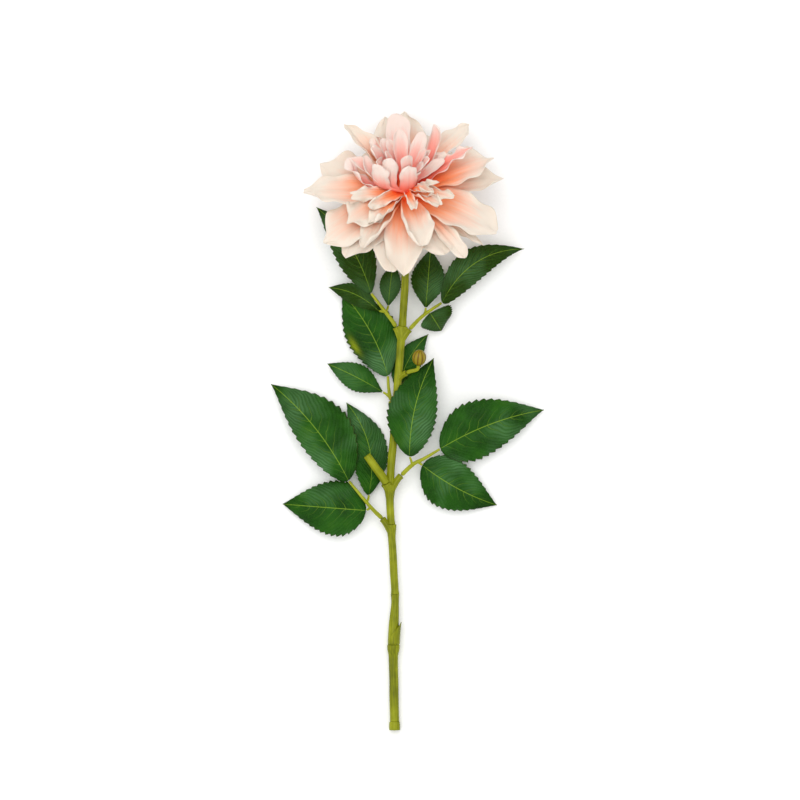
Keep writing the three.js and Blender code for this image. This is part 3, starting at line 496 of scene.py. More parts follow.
def bud_plastic():
    """Olive brown ribs lightened as a painted highlight and furrows darkened as painted shade, mottled every
    2.5 mm, with the shine of smooth plastic.
    """
    material, tree, shader = new_material("brown_olive_polyethylene")
    rib_highlight_and_shade = add_node(tree, "Attribute", attribute_name="rib_highlight_and_shade")
    place = add_node(tree, "TexCoord")
    blotches = add_node(tree, "TexNoise", {"Vector": place.outputs["Object"], "Scale": 400.0})
    shade = add_node(tree, "Math", {0: blotches, 1: 0.35, 2: -0.17}, operation="MULTIPLY_ADD")
    level = add_node(tree, "Math", {0: rib_highlight_and_shade.outputs["Fac"], 1: shade}, operation="ADD")
    # painted highlight and shade: the colour is lighter on the ribs and darker in the furrows, following the
    # rib relief
    tint = add_node(tree, "ValToRGB", {0: level}, [(0.1, "#4E3402"), (0.45, "#77600A"), (0.9, "#8E7E16")])
    set_sockets(tree, shader, {"Base Color": tint, "Roughness": 0.34, "Specular IOR Level": 0.25})
    return material


add_piece("bud_skin", [bud_part], bud_plastic(), "bud", "bud")

# %% [markdown]
# ## Leaflets
#
# A made leaf is cloth, printed green, pressed between hot dies that raise its veins, cut out with a toothed
# edge and dipped in wax. So the sheet is quilted: it swells between the side veins, which leave the midrib
# at a slant and curve towards the tip. The teeth point forwards: each one rises slowly and drops back fast.

# %% Leaflet sizes
TEETH = 15
TOOTH_DEPTH = 0.085  # share of the half width
SIDE_VEINS = 8
QUILTING = 0.45
MIDRIB_GROOVE = 0.35
STEPS_ACROSS = 41
# base, tip, half width and shape of each leaflet
LEAFLETS = {
    "low_left_tip": (
        (-46.1, -45.6, 15.2), (-106.6, 29.4, 5), 22.4,
        {"roll": 8, "bow": 4.8, "lean": 0.22, "widest": 0.43}),
    "low_left_side": ((-32.5, -69.1, 12), (-97.6, -64.3, 3), 22.4, {"arch": 4, "widest": 0.32, "phase": 1}),
    "low_left_middle": (
        (-30.2, -56.8, 9.2), (-47.7, 15, 5), 15,
        {"roll": 12, "arch": 1, "bow": 9, "rounding": 0.8, "point": 1.4, "phase": 2}),
    "low_right_tip": (
        (25.8, -20.8, 14.6), (106.6, 9.3, 4), 23.2, {"roll": 4, "bow": -4.6, "widest": 0.32, "phase": 1}),
    "low_right_side": (
        (11.8, -34, 12.7), (70, -65.1, 3), 20.8, {"arch": 3, "bow": 3, "widest": 0.33, "phase": 2}),
    "low_right_top": (
        (1.6, -26.6, 17.9), (20.5, 49.6, 15), 20,
        {"roll": 4, "arch": 7, "bow": -5.5, "lean": -0.06, "rounding": 0.7}),
    "middle_big": (
        (-15.4, 36.2, 9.2), (-51.5, 100.8, 5), 21,
        {"roll": -8, "arch": 2, "bow": 5.2, "widest": 0.5, "rounding": 0.75, "phase": 1, "spot": -0.8}),
    "middle_small": (
        (-19.8, 23.6, 9.8), (-62.7, 45.4, 7), 11,
        {"arch": 3, "bow": 1, "widest": 0.45, "rounding": 1.2, "phase": 2}),
    "middle_right": ((-7.2, 23.2, 7.2), (16.4, 68.5, 3), 11.5, {"arch": 1, "bow": -4.5, "rounding": 0.9}),
    "upper_left_tip": (
        (-28.6, 100.6, 17), (-71.1, 167.6, 8), 15.5, {"bow": 6, "rounding": 0.8, "phase": 1, "olive": 1}),
    "upper_left_side": (
        (-22.4, 86.4, 16), (-61.6, 104.8, 9), 8.5,
        {"roll": -8, "arch": 1, "bow": 4.2, "widest": 0.5, "rounding": 1, "phase": 2, "olive": 1}),
    "upper_left_inner": (
        (-14.9, 91, 12.4), (-10.6, 125, 9), 8.6,
        {"arch": 1, "bow": -0.5, "widest": 0.46, "rounding": 1, "olive": 1}),
    "upper_right_inner": (
        (14.3, 89.4, 17), (18.1, 135.2, 8), 13.8,
        {"arch": 2, "widest": 0.46, "rounding": 1.1, "phase": 1, "olive": 1}),
    "upper_right_tip": ((27.2, 93.2, 17.8), (91.1, 135.1, 9), 13.2, {"bow": -11.5, "phase": 2, "olive": 1}),
    "upper_right_small": (
        (17.8, 84.6, 16.6), (26.5, 71, 6), 14.5,
        {"arch": 2, "lean": -0.18, "widest": 0.26, "rounding": 0.8, "olive": 1}),
}
leaf_lengths = [np.linalg.norm(np.subtract(tip, base)) for base, tip, _, _ in LEAFLETS.values()]
print("leaflet lengths in mm:", round(min(leaf_lengths)), "to", round(max(leaf_lengths)))
LEAF_SHAPE = {"arch": 5, "bow": 0, "lean": 0, "widest": 0.4, "rounding": 0.6, "point": 1, "fold": 0.22,
              "droop": 0.34, "ripple": 1.2, "phase": 0, "roll": 0, "spot": 0, "olive": 0.2}


# %% Leaflet surface
def leaf_outline(u, leaf):
    """Half width, 0 to 1. Up to the widest place it is 0.07 + 0.93 times a sine to the power of the
    rounding, and beyond it a cosine of the way to the tip, itself to the power of the point, to the 1.1. A
    rounding under 1 gives a full base, one over 1 a wedge, and a point over 1 a blunt tip."""
    widest = leaf["widest"]
    base = 0.07 + 0.93 * np.sin(np.pi / 2 * np.minimum(u / widest, 1)) ** leaf["rounding"]
    beyond = np.clip((u - widest) / (1 - widest), 0, 1) ** leaf["point"]
    tip = np.cos(np.pi / 2 * beyond) ** 1.1
    return np.where(u < widest, base, np.maximum(0.015, tip))


def leaflet(base, tip, half_width, shape):
    """A toothed sheet over the line from base to tip. With hump = 4u(1 - u) and w the half width at u:

    x = v w + bow hump; y = u length; z = arch hump + fold |v| w - droop v v w + ripple v|v| sin(3 pi u +
    phase) hump. The quilting is added, which swells between side veins at whole values of the vein number,
    and a groove 1.6 mm wide along the midrib. Where a leaflet has a spot, it lies on one side of the
    midrib, 44% of the way."""
    leaf = LEAF_SHAPE | shape
    base, tip = np.array(base, float), np.array(tip, float)
    length = np.linalg.norm(tip - base)
    in_tooth = np.array([0, 0.2, 0.4, 0.6, 0.8, 0.9])
    u = np.append((np.arange(TEETH)[:, None] + in_tooth).ravel() / TEETH, 1)
    v = np.linspace(1, -1, STEPS_ACROSS)
    u, v = np.meshgrid(u, v, indexing="ij")
    saw = (u * TEETH) % 1
    tooth = np.where(saw < 0.8, saw / 0.8, (1 - saw) / 0.2)
    rim = np.clip((abs(v) - 0.7) / 0.3, 0, 1) ** 2
    width = half_width * leaf_outline(u, leaf) * (1 + leaf["lean"] * v)
    width = width * (1 - TOOTH_DEPTH * (1 - tooth) * rim)
    hump = 4 * u * (1 - u)
    vein = SIDE_VEINS * (u * 1.2 - 0.4 * abs(v) ** 1.3)
    between = np.abs(np.sin(np.pi * vein)) ** 0.7 - 0.6
    quilt = QUILTING * between * np.sin(np.pi * np.clip(abs(v), 0, 1)) ** 0.7 * np.minimum(1, width / 9)
    lift = (leaf["fold"] * abs(v) - leaf["droop"] * v**2) * width
    ripple = leaf["ripple"] * v * abs(v) * np.sin(3 * np.pi * u + leaf["phase"]) * hump
    groove = -MIDRIB_GROOVE * np.exp(-((v * width / 0.8) ** 2))
    height = leaf["arch"] * hump + lift + ripple + quilt + groove
    local = [v * width + leaf["bow"] * hump, u * length, height]
    roll = np.radians(leaf["roll"])
    ahead = (tip - base) / length
    right = unit(np.array([ahead[1], -ahead[0], 0]))
    up = np.cross(right, ahead)
    x = local[0] * np.cos(roll) + local[2] * np.sin(roll)
    z = local[2] * np.cos(roll) - local[0] * np.sin(roll)
    middle = base + x[..., None] * right + local[1][..., None] * ahead + z[..., None] * up
    thickness = 0.4 + 0.7 * np.exp(-((v * width / 0.7) ** 2)) * (1 - u)
    cloth = np.stack([local[0], local[1], 0 * u + 9 * base[1]], -1) * MM
    spot = np.exp(-(((v - leaf["spot"]) / 0.12) ** 2) - ((u - 0.44) / 0.1) ** 2) * (leaf["spot"] != 0)
    olive = np.full(u.shape, float(leaf["olive"]))
    return sheet(middle, thickness, across=v, from_rib=abs(v) * width, vein=vein, cloth=cloth, spot=spot,
                 olive=olive)


# %% [markdown]
# ## Leaf cloth
#
# The cloth is polyester, printed in patches of green, with pale veins and a fine net of cells between them.
# The leaflets near the bloom are more olive, and one has a yellow spot. A grey-green painted sheen lies in
# patches over the raised ridges, standing in for light that a waxy coat would reflect. The material mixes
# one layer of colour over another in that order.


# %% Leaf cloth
def waxed_leaf_cloth():
    """Greens in patches 22 mm across and a net of cells 1.8 mm across, with a painted grey sheen on the
    ridges in patches 38 mm across.

    The midrib's line is 0.9 mm wide and soft at its edges, and the side veins fade out by 60% of the way to
    the edge. Two ridges run beside each side vein, bent by a noise 14 mm across. The cut edge is brown, and
    the underside is paler."""
    material, tree, shader = new_material("waxed_printed_polyester")
    across, from_rib, vein, under, spot, olive = (
        add_node(tree, "Attribute", attribute_name=name).outputs["Fac"]
        for name in ("across", "from_rib", "vein", "under", "spot", "olive")
    )
    cloth = add_node(tree, "Attribute", attribute_name="cloth").outputs["Vector"]
    wander, patches, sheen_noise = (
        add_node(tree, "TexNoise", {"Vector": cloth, "Scale": scale, "Detail": detail})
        for scale, detail in ((70.0, 3.0), (45.0, 5.0), (26.0, 2.0))
    )
    out = add_node(tree, "Math", {0: across}, operation="ABSOLUTE")
    bent = add_node(tree, "Math", {0: wander, 1: 1.3, 2: vein}, operation="MULTIPLY_ADD")
    to_vein = add_node(tree, "Math", {0: bent, 1: 0.5}, operation="PINGPONG")
    side_line = add_node(tree, "MapRange", {0: to_vein, 1: 0.0, 2: 0.04, 3: 1.0, 4: 0.0})
    fading = add_node(tree, "MapRange", {0: out, 1: 0.05, 2: 0.6, 3: 0.5, 4: 0.0})
    side_veins = add_node(tree, "Math", {0: side_line, 1: fading}, operation="MULTIPLY")
    midrib = add_node(tree, "MapRange", {0: from_rib, 1: 0.1, 2: 0.45, 3: 0.8, 4: 0.0})
    veins = add_node(tree, "Math", {0: side_veins, 1: midrib}, operation="MAXIMUM")
    net = add_node(tree, "TexVoronoi", {"Vector": cloth, "Scale": 550.0}, feature="DISTANCE_TO_EDGE")
    net_line = add_node(tree, "MapRange", {0: net, 1: 0.0, 2: 0.09, 3: 1.0, 4: 0.0})
    lit = add_node(tree, "Math", {0: net_line, 1: 0.5}, operation="MULTIPLY")
    ridges = add_node(tree, "Math", {0: bent, 1: 2.0}, operation="MULTIPLY")
    to_ridge = add_node(tree, "Math", {0: ridges, 1: 0.5}, operation="PINGPONG")
    # painted sheen: a grey-green colour over the raised ridges in noise patches, standing in for reflected
    # light
    sheen_patch_share = add_node(tree, "MapRange", {0: sheen_noise, 1: 0.46, 2: 0.68, 3: 0.0, 4: 0.75})
    ridge_sheen = add_node(tree, "MapRange", {0: to_ridge, 1: 0.0, 2: 0.4, 3: 0.3, 4: 1.0})
    painted_sheen = add_node(tree, "Math", {0: sheen_patch_share, 1: ridge_sheen}, operation="MULTIPLY")
    rim = add_node(tree, "MapRange", {0: out, 1: 0.95, 2: 1.0, 3: 0.0, 4: 0.7})
    paler = add_node(tree, "Math", {0: under, 1: 0.6}, operation="MULTIPLY")
    greens = ((0.32, "#0A3204"), (0.48, "#154606"), (0.6, "#20560C"), (0.78, "#386814"))
    colour = add_node(tree, "ValToRGB", {0: patches}, greens).outputs[0]
    # the third layer, grey-green, is the painted sheen
    layers = ((olive, "#223A02"), (lit, "#2A5E14"), (painted_sheen, "#54804E"), (spot, "#7C8A10"), (veins, "#82A42E"),
              (rim, "#4A4224"), (paler, "#5F8450"))
    for share, code in layers:
        layer = add_node(tree, "Mix", {0: share, 6: colour, 7: linear(code)}, data_type="RGBA")
        colour = layer.outputs[2]
    relief = add_node(tree, "Math", {0: net_line, 1: -0.2, 2: to_ridge}, operation="MULTIPLY_ADD")
    bump = add_node(tree, "Bump", {"Height": relief, "Strength": 1.0, "Distance": 0.6 * MM})
    set_sockets(tree, shader, {"Base Color": colour, "Normal": bump, "Roughness": 0.42,
                               "Specular IOR Level": 0.1})
    return material


leaf_cloth = waxed_leaf_cloth()
for name, leaf_row in LEAFLETS.items():
    add_piece(f"leaflet_{name}_cloth", [leaflet(*leaf_row)], leaf_cloth, "leaf", f"leaflet_{name}")

# %% [markdown]
# ## The bloom's own frame
#
# The bloom's axis leans 45 degrees from upright, away from the cut end, so the camera above looks at it
# from the front and a little from below. Petals are worked out about that axis, moved to their place, and
# let down on the table where they would sink into it.

# %% Bloom frame
BLOOM_SEAT = np.array([-2.9, 175.2, 45.5])
TILT = np.radians(45)
BLOOM_AXES = np.array([[1, 0, 0], [0, np.cos(TILT), -np.sin(TILT)], [0, np.sin(TILT), np.cos(TILT)]])


def in_place(local):
    """Points about the bloom's axis as points of the model: seat + x X + y Y' + z Z', the tilted axes."""
    return BLOOM_SEAT + local @ BLOOM_AXES


def let_down(points, clearance=0.45, soft=1.2):
    """Lifts what is near or under the table: over is (z - clearance) / soft, and z becomes clearance +
    soft ln(1 + e to the over)."""
    over = (points[..., 2] - clearance) / soft
    settled = clearance + soft * np.logaddexp(0, over)
    return np.concatenate([points[..., :2], settled[..., None]], -1)


# %% [markdown]
# ## A petal
#
# Each petal is cut from fine cloth and pressed to shape. Its spine leaves the middle at a slope that bends
# towards the tip. Across, it is cupped like a spoon, or folded along its spine, and its edges may curl
# over. It may also twist, sweep to one side and slip from the middle. Its edges wave and ruffle, its tip is
# frilled, and pleats run along it, as heat and handling leave real cloth petals. How far the dye runs out
# along it is worked out with the shape: an edge or a lip that the dye didn't reach is pale.

# %% Petal surface
PETAL = {
    "root": 4, "claw": 0.2, "widest": 0.6, "shoulder": 1.6, "taper": 0.85, "ragged": 0.09,
    "cup": 0.35, "cup_tip": 0.15, "fold": 0, "twist": 0, "sweep": 0, "shift": (0, 0),
    "curl_low": 0, "curl_high": 0, "curl_from": 1.5, "wave": 2.2, "ruffle": 2.3, "frill": 4, "pleat": 0.45,
    "pink": 0, "pale": 0, "lip_low": 0, "lip_high": 0, "steps_along": 44, "steps_across": 31,
}
FOLD_WIDTH = 0.12  # share of the half width over which a folded petal turns
EDGE_WAVES = 2.6  # half waves along an edge, then the shorter ones of its ruffle and its ragged outline
RUFFLES = 7.4
NICKS = 5.1
OFF_BEAT = 2.0  # radians between the waves of the two edges
WAVING_WIDTH = 5  # half widths below which the waves and the pleats die down
PLEATED_WIDTH = 8
CHANCE_TWIST = 9  # degrees either way
SLIPPED_AT = 0.3  # share of the length by which a petal has slipped sideways from its root


def running(values, places, axis):
    """The integral of values over places along an axis, from its start, by the trapezium rule."""
    values = np.moveaxis(values, axis, -1)
    steps = (values[..., 1:] + values[..., :-1]) / 2 * np.diff(places)
    total = np.concatenate([np.zeros((*values.shape[:-1], 1)), steps.cumsum(-1)], -1)
    return np.moveaxis(total, -1, axis)


def petal_outline(u, look):
    """Half width, 0 to 1: from the claw by a sine to the widest place, then by the cosine of t to the power
    of the shoulder, to the power of the taper."""
    rising = look["claw"] + (1 - look["claw"]) * np.sin(np.pi / 2 * np.minimum(u / look["widest"], 1)) ** 1.1
    t = np.clip((u - look["widest"]) / (1 - look["widest"]), 0, 1)
    closing = np.cos(np.pi / 2 * t ** look["shoulder"]) ** look["taper"]
    return np.where(u < look["widest"], rising, np.maximum(0.03, closing))


def petal(azimuth, mean_rise, bend, reach, half_width, seat, phase, look):
    """One petal as a sheet, u along it and v across.

    Its slope is rise + bend u u, and its spine the running sum of that. Across, the surface turns by cup v
    + fold tanh(v / fold width) + curl v cubed, and the running sums of its cosine and sine give how far
    each point lies sideways and how far it lifts. Sines along the edges and a cosine across lift it
    further, as waves, ruffles and pleats. Small multiples of the phase set them apart. The frill shortens
    the tip unevenly by u to the sixth. The dye value is u, more near the edges and with paleness, which
    grows with v squared on the petal's lips."""
    along = 1 - (1 - np.linspace(0, 1, look["steps_along"])) ** 1.25
    wide = np.linspace(-1, 1, look["steps_across"])
    u, v = np.meshgrid(along, wide, indexing="ij")
    length = reach - look["root"]
    slope = np.radians(mean_rise - bend / 3 + bend * along**2)
    x = (look["root"] + length * running(np.cos(slope), along, 0))[:, None]
    z = (seat + length * running(np.sin(slope), along, 0))[:, None]
    slope = slope[:, None]
    beat = np.where(v > 0, OFF_BEAT, 0.0)
    width = half_width * petal_outline(u, look)
    width = width * (1 + look["ragged"] * u * np.sin(NICKS * np.pi * u + 2 * phase + beat))
    curl = np.where(v < 0, look["curl_low"], look["curl_high"]) * u ** look["curl_from"]
    turned = (look["cup"] + (look["cup_tip"] - look["cup"]) * u) * v + curl * v**3
    turned += look["fold"] * np.tanh(v / FOLD_WIDTH)
    sideways, lift = (running(f(turned), wide, 1) for f in (np.cos, np.sin))
    middle = look["steps_across"] // 2
    sideways, lift = (width * (total - total[:, middle : middle + 1]) for total in (sideways, lift))
    slack = np.minimum(1, width / WAVING_WIDTH)
    lift += look["wave"] * slack * np.abs(v) ** 1.5 * u * np.sin(EDGE_WAVES * np.pi * u + phase + beat)
    lift += look["ruffle"] * slack * np.abs(v) ** 3 * u * np.sin(RUFFLES * np.pi * u + 2 * phase + beat)
    pleats = np.cos(3 * np.pi * v + phase) * np.sin(np.pi * u)
    lift += look["pleat"] * pleats * np.minimum(1, width / PLEATED_WIDTH)
    turn = np.radians(look["twist"] + CHANCE_TWIST * np.sin(5 * phase)) * (0.4 + 0.6 * u)
    cosine, sine = np.cos(turn), np.sin(turn)
    sideways, lift = sideways * cosine - lift * sine, sideways * sine + lift * cosine
    uneven = look["frill"] * slack * u**6 * np.sin(4 * v + 5 * phase)
    x, z = x - lift * np.sin(slope) - uneven, z + lift * np.cos(slope)
    heading = np.radians(azimuth + look["sweep"] * u**2)
    slipped = 1 - np.clip(1 - u / SLIPPED_AT, 0, 1) ** 2
    local = np.stack([x * np.cos(heading) - sideways * np.sin(heading) + look["shift"][0] * slipped,
                      x * np.sin(heading) + sideways * np.cos(heading) + look["shift"][1] * slipped, z], -1)
    thickness = 0.36 - 0.16 * np.abs(v) ** 6
    lip = np.where(v < 0, look["lip_low"], look["lip_high"])
    pale = 0.5 + 0.5 * np.sin(7 * phase) + look["pale"] + lip * v**2
    dye = u + 0.1 * pale + (0.1 * v**2 + 0.24 * v**6) * np.clip(1.6 * u, 0, 1)
    pink = np.full(u.shape, float(look["pink"]))
    cloth = np.stack([v * width, u * length, 0 * u + 100 * phase], -1) * MM
    return sheet(let_down(in_place(local)), thickness, dye=dye, pink=pink, cloth=cloth)


# %% [markdown]
# ## Where the petals sit
#
# The rows are the CAD model's: azimuth round the axis (0 to the right, 90 towards the table, -90 towards
# the stem), mean rise and bend at the tip in degrees, reach, half width and seat height in millimetres. A
# row may add what makes that petal its own, such as a curled edge or a pointed tip.

# %% Petal rows
OUTER_PETALS = [
    (-31, -15, -22, 74, 8, -0.5, {"taper": 1.3, "widest": 0.5}),
    (-51.5, -9, -26, 77, 7.5, 0.5, {"cup": 0.8, "cup_tip": 0.6, "widest": 0.75}),
    (-60, -9, -20, 65, 15, -0.5, {"wave": 2, "cup": 0.1}),
    (-98, -14, -20, 71, 17, -0.5, {"wave": 2.6, "ruffle": 0, "pleat": 0}),
    (-129, -12, -22, 73, 16, 0, {"wave": 2.2}),
    (-174, 7, -16, 78, 16, 1.5, {"cup": 0.5, "ragged": 0.05}),
    (157, 7, -14, 71, 18, -1, {"cup": 0.4}),
    (116, -6, -12, 65, 12, -0.5, {}),
    (103, 22, -16, 70, 15, 0, {}),
    (75, 4, -12, 68, 16, -0.5, {}),
    (56, -5, -12, 67, 14, 0, {}),
    (12, 2, -14, 79, 14, 0, {"taper": 1.2, "curl_low": 1.5}),
    (-26, -7, -24, 80, 20, 2.5, {"wave": 2.8, "claw": 0.3, "cup": 0.5, "pale": 0.3}),
    (-90, -16, -22, 75, 16, 1.5, {"fold": 0.25, "taper": 1.15, "shoulder": 1.4}),
    (-118, -3, -18, 66, 12, 1.5, {"curl_high": 3.4, "cup": 0.6, "curl_from": 0.4}),
    (-144, -9, -20, 76, 19, 1.5, {"wave": 2.4, "ragged": 0.06, "pale": -1.5}),
    (-77.5, 1, -20, 62, 14, 2, {"curl_low": 4.2, "cup": 0.6, "curl_from": 0.5}),
    (20, 12, -16, 75, 18, 1.5, {"cup": 0.6, "pale": -0.7}),
    (47.5, 18, -16, 78, 10, 2, {"cup": 0.7, "shoulder": 2, "taper": 0.6}),
    (90, 21, -14, 72, 18, 2, {"fold": -0.3}),
    (135, 26, -12, 73, 10, 2, {"fold": 0.7, "taper": 1.2}),
]
MIDDLE_PETALS = [
    (-138, 2, -16, 56, 15, 3.5, {}),
    (-119, 9, -18, 48, 8, 3.5, {
        "curl_high": 1.6, "curl_from": 0.2, "claw": 0.5, "taper": 0.4, "shoulder": 3, "lip_high": 7}),
    (-132, 13, -14, 41, 6, 7, {
        "claw": 0.9, "widest": 0.4, "twist": -50, "wave": 1, "curl_low": 3.2, "curl_from": 0.1,
        "lip_low": 7, "taper": 0.6, "shoulder": 2.4}),
    (-150, 22, -14, 48, 6.5, 4.5, {
        "twist": -30, "taper": 0.4, "shoulder": 3, "wave": 2, "claw": 0.6, "cup": 0.8, "cup_tip": -1.5}),
    (-75, 16, -10, 36, 4.5, 8, {
        "cup": 0.8, "cup_tip": -1.2, "claw": 0.6, "curl_low": 3, "curl_high": 2, "curl_from": 0.2,
        "lip_low": 5}),
    (-46, 16, -18, 41, 5.5, 6, {
        "cup": 1, "curl_low": 3, "curl_from": 0.3, "taper": 0.4, "shoulder": 3, "twist": 20}),
    (-41, 28, -10, 34, 5, 8, {"cup": 1.6, "cup_tip": 1.6, "twist": 30, "claw": 0.6, "lip_high": 3}),
    (-33, 22, -16, 49, 6, 5, {"curl_high": 3, "curl_from": 0.3, "claw": 0.5, "twist": 10}),
    (-29, 37, -10, 38, 3, 7, {"twist": 50, "taper": 1.2, "pale": 3}),
    (35, 30, -10, 44, 5, 5, {"cup": 0.8, "pink": 0.5}),
    (22, 27, -10, 64, 8.5, 4, {"taper": 1.2, "pink": 1, "pale": -2.5}),
    (38, 38, 0, 58, 8, 4, {"fold": 0.8, "twist": 25, "sweep": 22, "pink": 1, "pale": -2}),
    (124, 35, 0, 50, 7, 4, {"pink": 0.7}),
    (-166, 24, 24, 51, 8, 4, {"cup": 1.5, "cup_tip": 1, "sweep": -36, "pink": 1}),
]
INNER_PETALS = [
    (96, 30, -8, 63, 9.5, 6, {"fold": -0.2, "claw": 0.5, "pale": 1}),
    (100, 64, 0, 46, 6.2, 10, {"claw": 0.2, "pale": 1}),
    (55, 57, 0, 46, 6, 10, {"claw": 0.2, "taper": 0.8, "pale": 0.6}),
    (139, 61, 0, 44, 5, 9, {}),
    (164, 56, 0, 44, 7, 9, {"cup": 1.2, "taper": 0.4}),
    (159, 68, 0, 36, 4, 10, {}),
    (-70, 80, 0, 42, 4.8, 11, {"taper": 0.9}),
    (33, 59, 0, 36, 3.8, 10, {}),
    (32, 50, 0, 36, 3.6, 10, {}),
    (-7, 63, 0, 30, 4.5, 11, {}),
    (-27, 60, 0, 26, 3, 10, {}),
    (20, 30, 0, 38, 5, 9, {"pale": 2}),
    (-118, 84, 50, 37, 8.2, 8.5, {"shift": (-14, 0), "root": 6, "claw": 1, "pale": 2}),
    (-105, 95, 50, 40, 6.5, 8.5, {"shift": (-9, 0), "root": 6, "claw": 0.7, "pale": 1.5}),
    (-85, 85, 40, 37, 7.4, 8.5, {
        "shift": (3, 0), "root": 6, "claw": 0.9, "taper": 1.2, "shoulder": 1.5, "pale": 1}),
    (-160, 38, 30, 41, 7, 8.5, {"sweep": -38}),
    (128, 64, 0, 42, 4.5, 8.5, {}),
    (-170, 58, 0, 38, 7, 8.5, {}),
    (168, 30, 0, 47, 6, 8, {}),
    (5, 60, 0, 36, 6, 8.5, {}),
]
print("petals:", len(OUTER_PETALS), "outer,", len(MIDDLE_PETALS), "middle,", len(INNER_PETALS), "inner")


def wander(i):
    """A repeatable draw from -1 to 1: twice the fraction of 43758.5453 sin(12.9898 i + 391.165), less 1."""
    return 2 * (np.sin(i * 12.9898 + 5 * 78.233) * 43758.5453 % 1) - 1


def petals(rows, **look):
    """Sheets for the petals of a whorl, with its look, which the last entry of a row changes for its own."""
    return [petal(*row[:6], 3 * wander(i), PETAL | look | row[6]) for i, row in enumerate(rows)]


# %% [markdown]
# ## Petal cloth
#
# Fine polyester taffeta, dipped in dye at the root and left nearly white at the tip, so the colour runs
# from a deep orange through peach to cream. The inner petals are dipped in coral instead, and a few of the
# middle ones in some of both. The weave is much finer than a pixel, so it is drawn at 0.5 mm. Light passes
# through the cloth a little, which a small subsurface weight gives, and fibres at a grazing angle catch the
# light, which is its sheen.


# %% Dyed petal cloth
ORANGE_DYE = ((0.0, "#F04A0C"), (0.16, "#FB7234"), (0.32, "#FC945E"), (0.46, "#F9AE88"), (0.62, "#F1CAB4"),
              (0.84, "#E9DDCE"))
CORAL_DYE = ((0.02, "#F45034"), (0.2, "#FC7860"), (0.38, "#FC9080"), (0.56, "#FAA99C"), (0.74, "#F5C4B8"),
             (0.95, "#EEDCD2"))


def dyed_taffeta():
    """Two dyes, mixed by each petal's pink, over each point's dye value. Fibres 2 mm wide and 22 mm long
    carry the dye a little further or less. They and the weave are the relief, 0.4 mm deep."""
    material, tree, shader = new_material("dip_dyed_taffeta")
    names = ("dye", "pink", "cloth")
    dye, pink, cloth = (add_node(tree, "Attribute", attribute_name=name) for name in names)
    stretched = add_node(tree, "Mapping", {0: cloth.outputs["Vector"], "Scale": (500, 45, 100)})
    fibres = add_node(tree, "TexNoise", {"Vector": stretched, "Scale": 1.0, "Detail": 3.0})
    spread = add_node(tree, "Math", {0: fibres, 1: 0.26, 2: -0.16}, operation="MULTIPLY_ADD")
    level = add_node(tree, "Math", {0: spread, 1: dye.outputs["Fac"]}, operation="ADD")
    orange, coral = (add_node(tree, "ValToRGB", {0: level}, stops) for stops in (ORANGE_DYE, CORAL_DYE))
    colour = add_node(tree, "Mix", {0: pink.outputs["Fac"], 6: orange, 7: coral}, data_type="RGBA")
    woven = add_node(tree, "Mapping", {0: cloth.outputs["Vector"], "Scale": (2000, 2000, 1)})
    weave = add_node(tree, "TexChecker", {"Vector": woven, "Scale": 1.0})
    height = add_node(tree, "Math", {0: weave.outputs["Fac"], 1: 0.25, 2: fibres}, operation="MULTIPLY_ADD")
    bump = add_node(tree, "Bump", {"Height": height, "Strength": 0.8, "Distance": 0.4 * MM})
    set_sockets(tree, shader, {"Base Color": colour.outputs[2], "Normal": bump, "Roughness": 0.7,
                               "Specular IOR Level": 0.2, "Sheen Weight": 0.05, "Subsurface Weight": 0.3,
                               "Subsurface Radius": (1.0, 0.8, 0.7), "Subsurface Scale": 0.25 * MM})
    return material


petal_cloth = dyed_taffeta()

# %% [markdown]
# ## The bloom
#
# Three whorls. The outer and middle petals spring from a receptacle disc, and the inner ones from a short
# core above it. The discs are lathe turned: rods along the bloom's own axis.


# %% Turned discs
DISC_SIDES = 64


def turned_disc(profile):
    """A lathe shape about the bloom's axis, closed at its ends, from pairs of radius and height."""
    radii, heights = np.array(profile, float).T
    side, _, axis = BLOOM_AXES
    part = rod(BLOOM_SEAT + heights[:, None] * axis, radii, DISC_SIDES, 0.05,
               straight_frames(axis, side, len(radii)))
    count = len(part["points"])
    part["values"] = {"under": np.zeros(count), "dye": np.full(count, 0.1), "pink": np.zeros(count),
                      "cloth": part["points"] * MM}
    return part


# %% Bloom pieces
receptacle = turned_disc([(8, -2), (9, -1.5), (9, 3), (8.4, 4.5), (6.5, 7), (3, 7)])
outer = petals(OUTER_PETALS)
middle = petals(MIDDLE_PETALS, cup=0.55, cup_tip=0.3, wave=3, ruffle=3.4, widest=0.62, ragged=0.13,
                frill=4.5, taper=0.7, shoulder=2, pale=-1.4, lip_low=3, lip_high=3)
add_piece("outer_petals_cloth", [receptacle] + outer + middle, petal_cloth, "petal_outer", "petals_outer")
core = turned_disc([(5, 7.3), (6.5, 8), (6.5, 10), (5.6, 13), (4, 15.5), (2, 17.4), (0.5, 18)])
inner = petals(INNER_PETALS, root=3, claw=0.35, widest=0.74, shoulder=2.1, taper=0.6, cup=0.8, cup_tip=0.6,
               wave=0.8, ruffle=0.5, frill=1, pleat=0.2, pink=1, pale=-0.8, steps_along=36, steps_across=21)
add_piece("inner_petals_cloth", [core] + inner, petal_cloth, "petal_inner", "petals_inner")

# %% [markdown]
# ## The calyx
#
# Behind the petals a moulded cup carries them on the neck, with eight pointed sepals turned back towards
# the stem. The photograph can't show it, so it is the plain one that such flowers have.

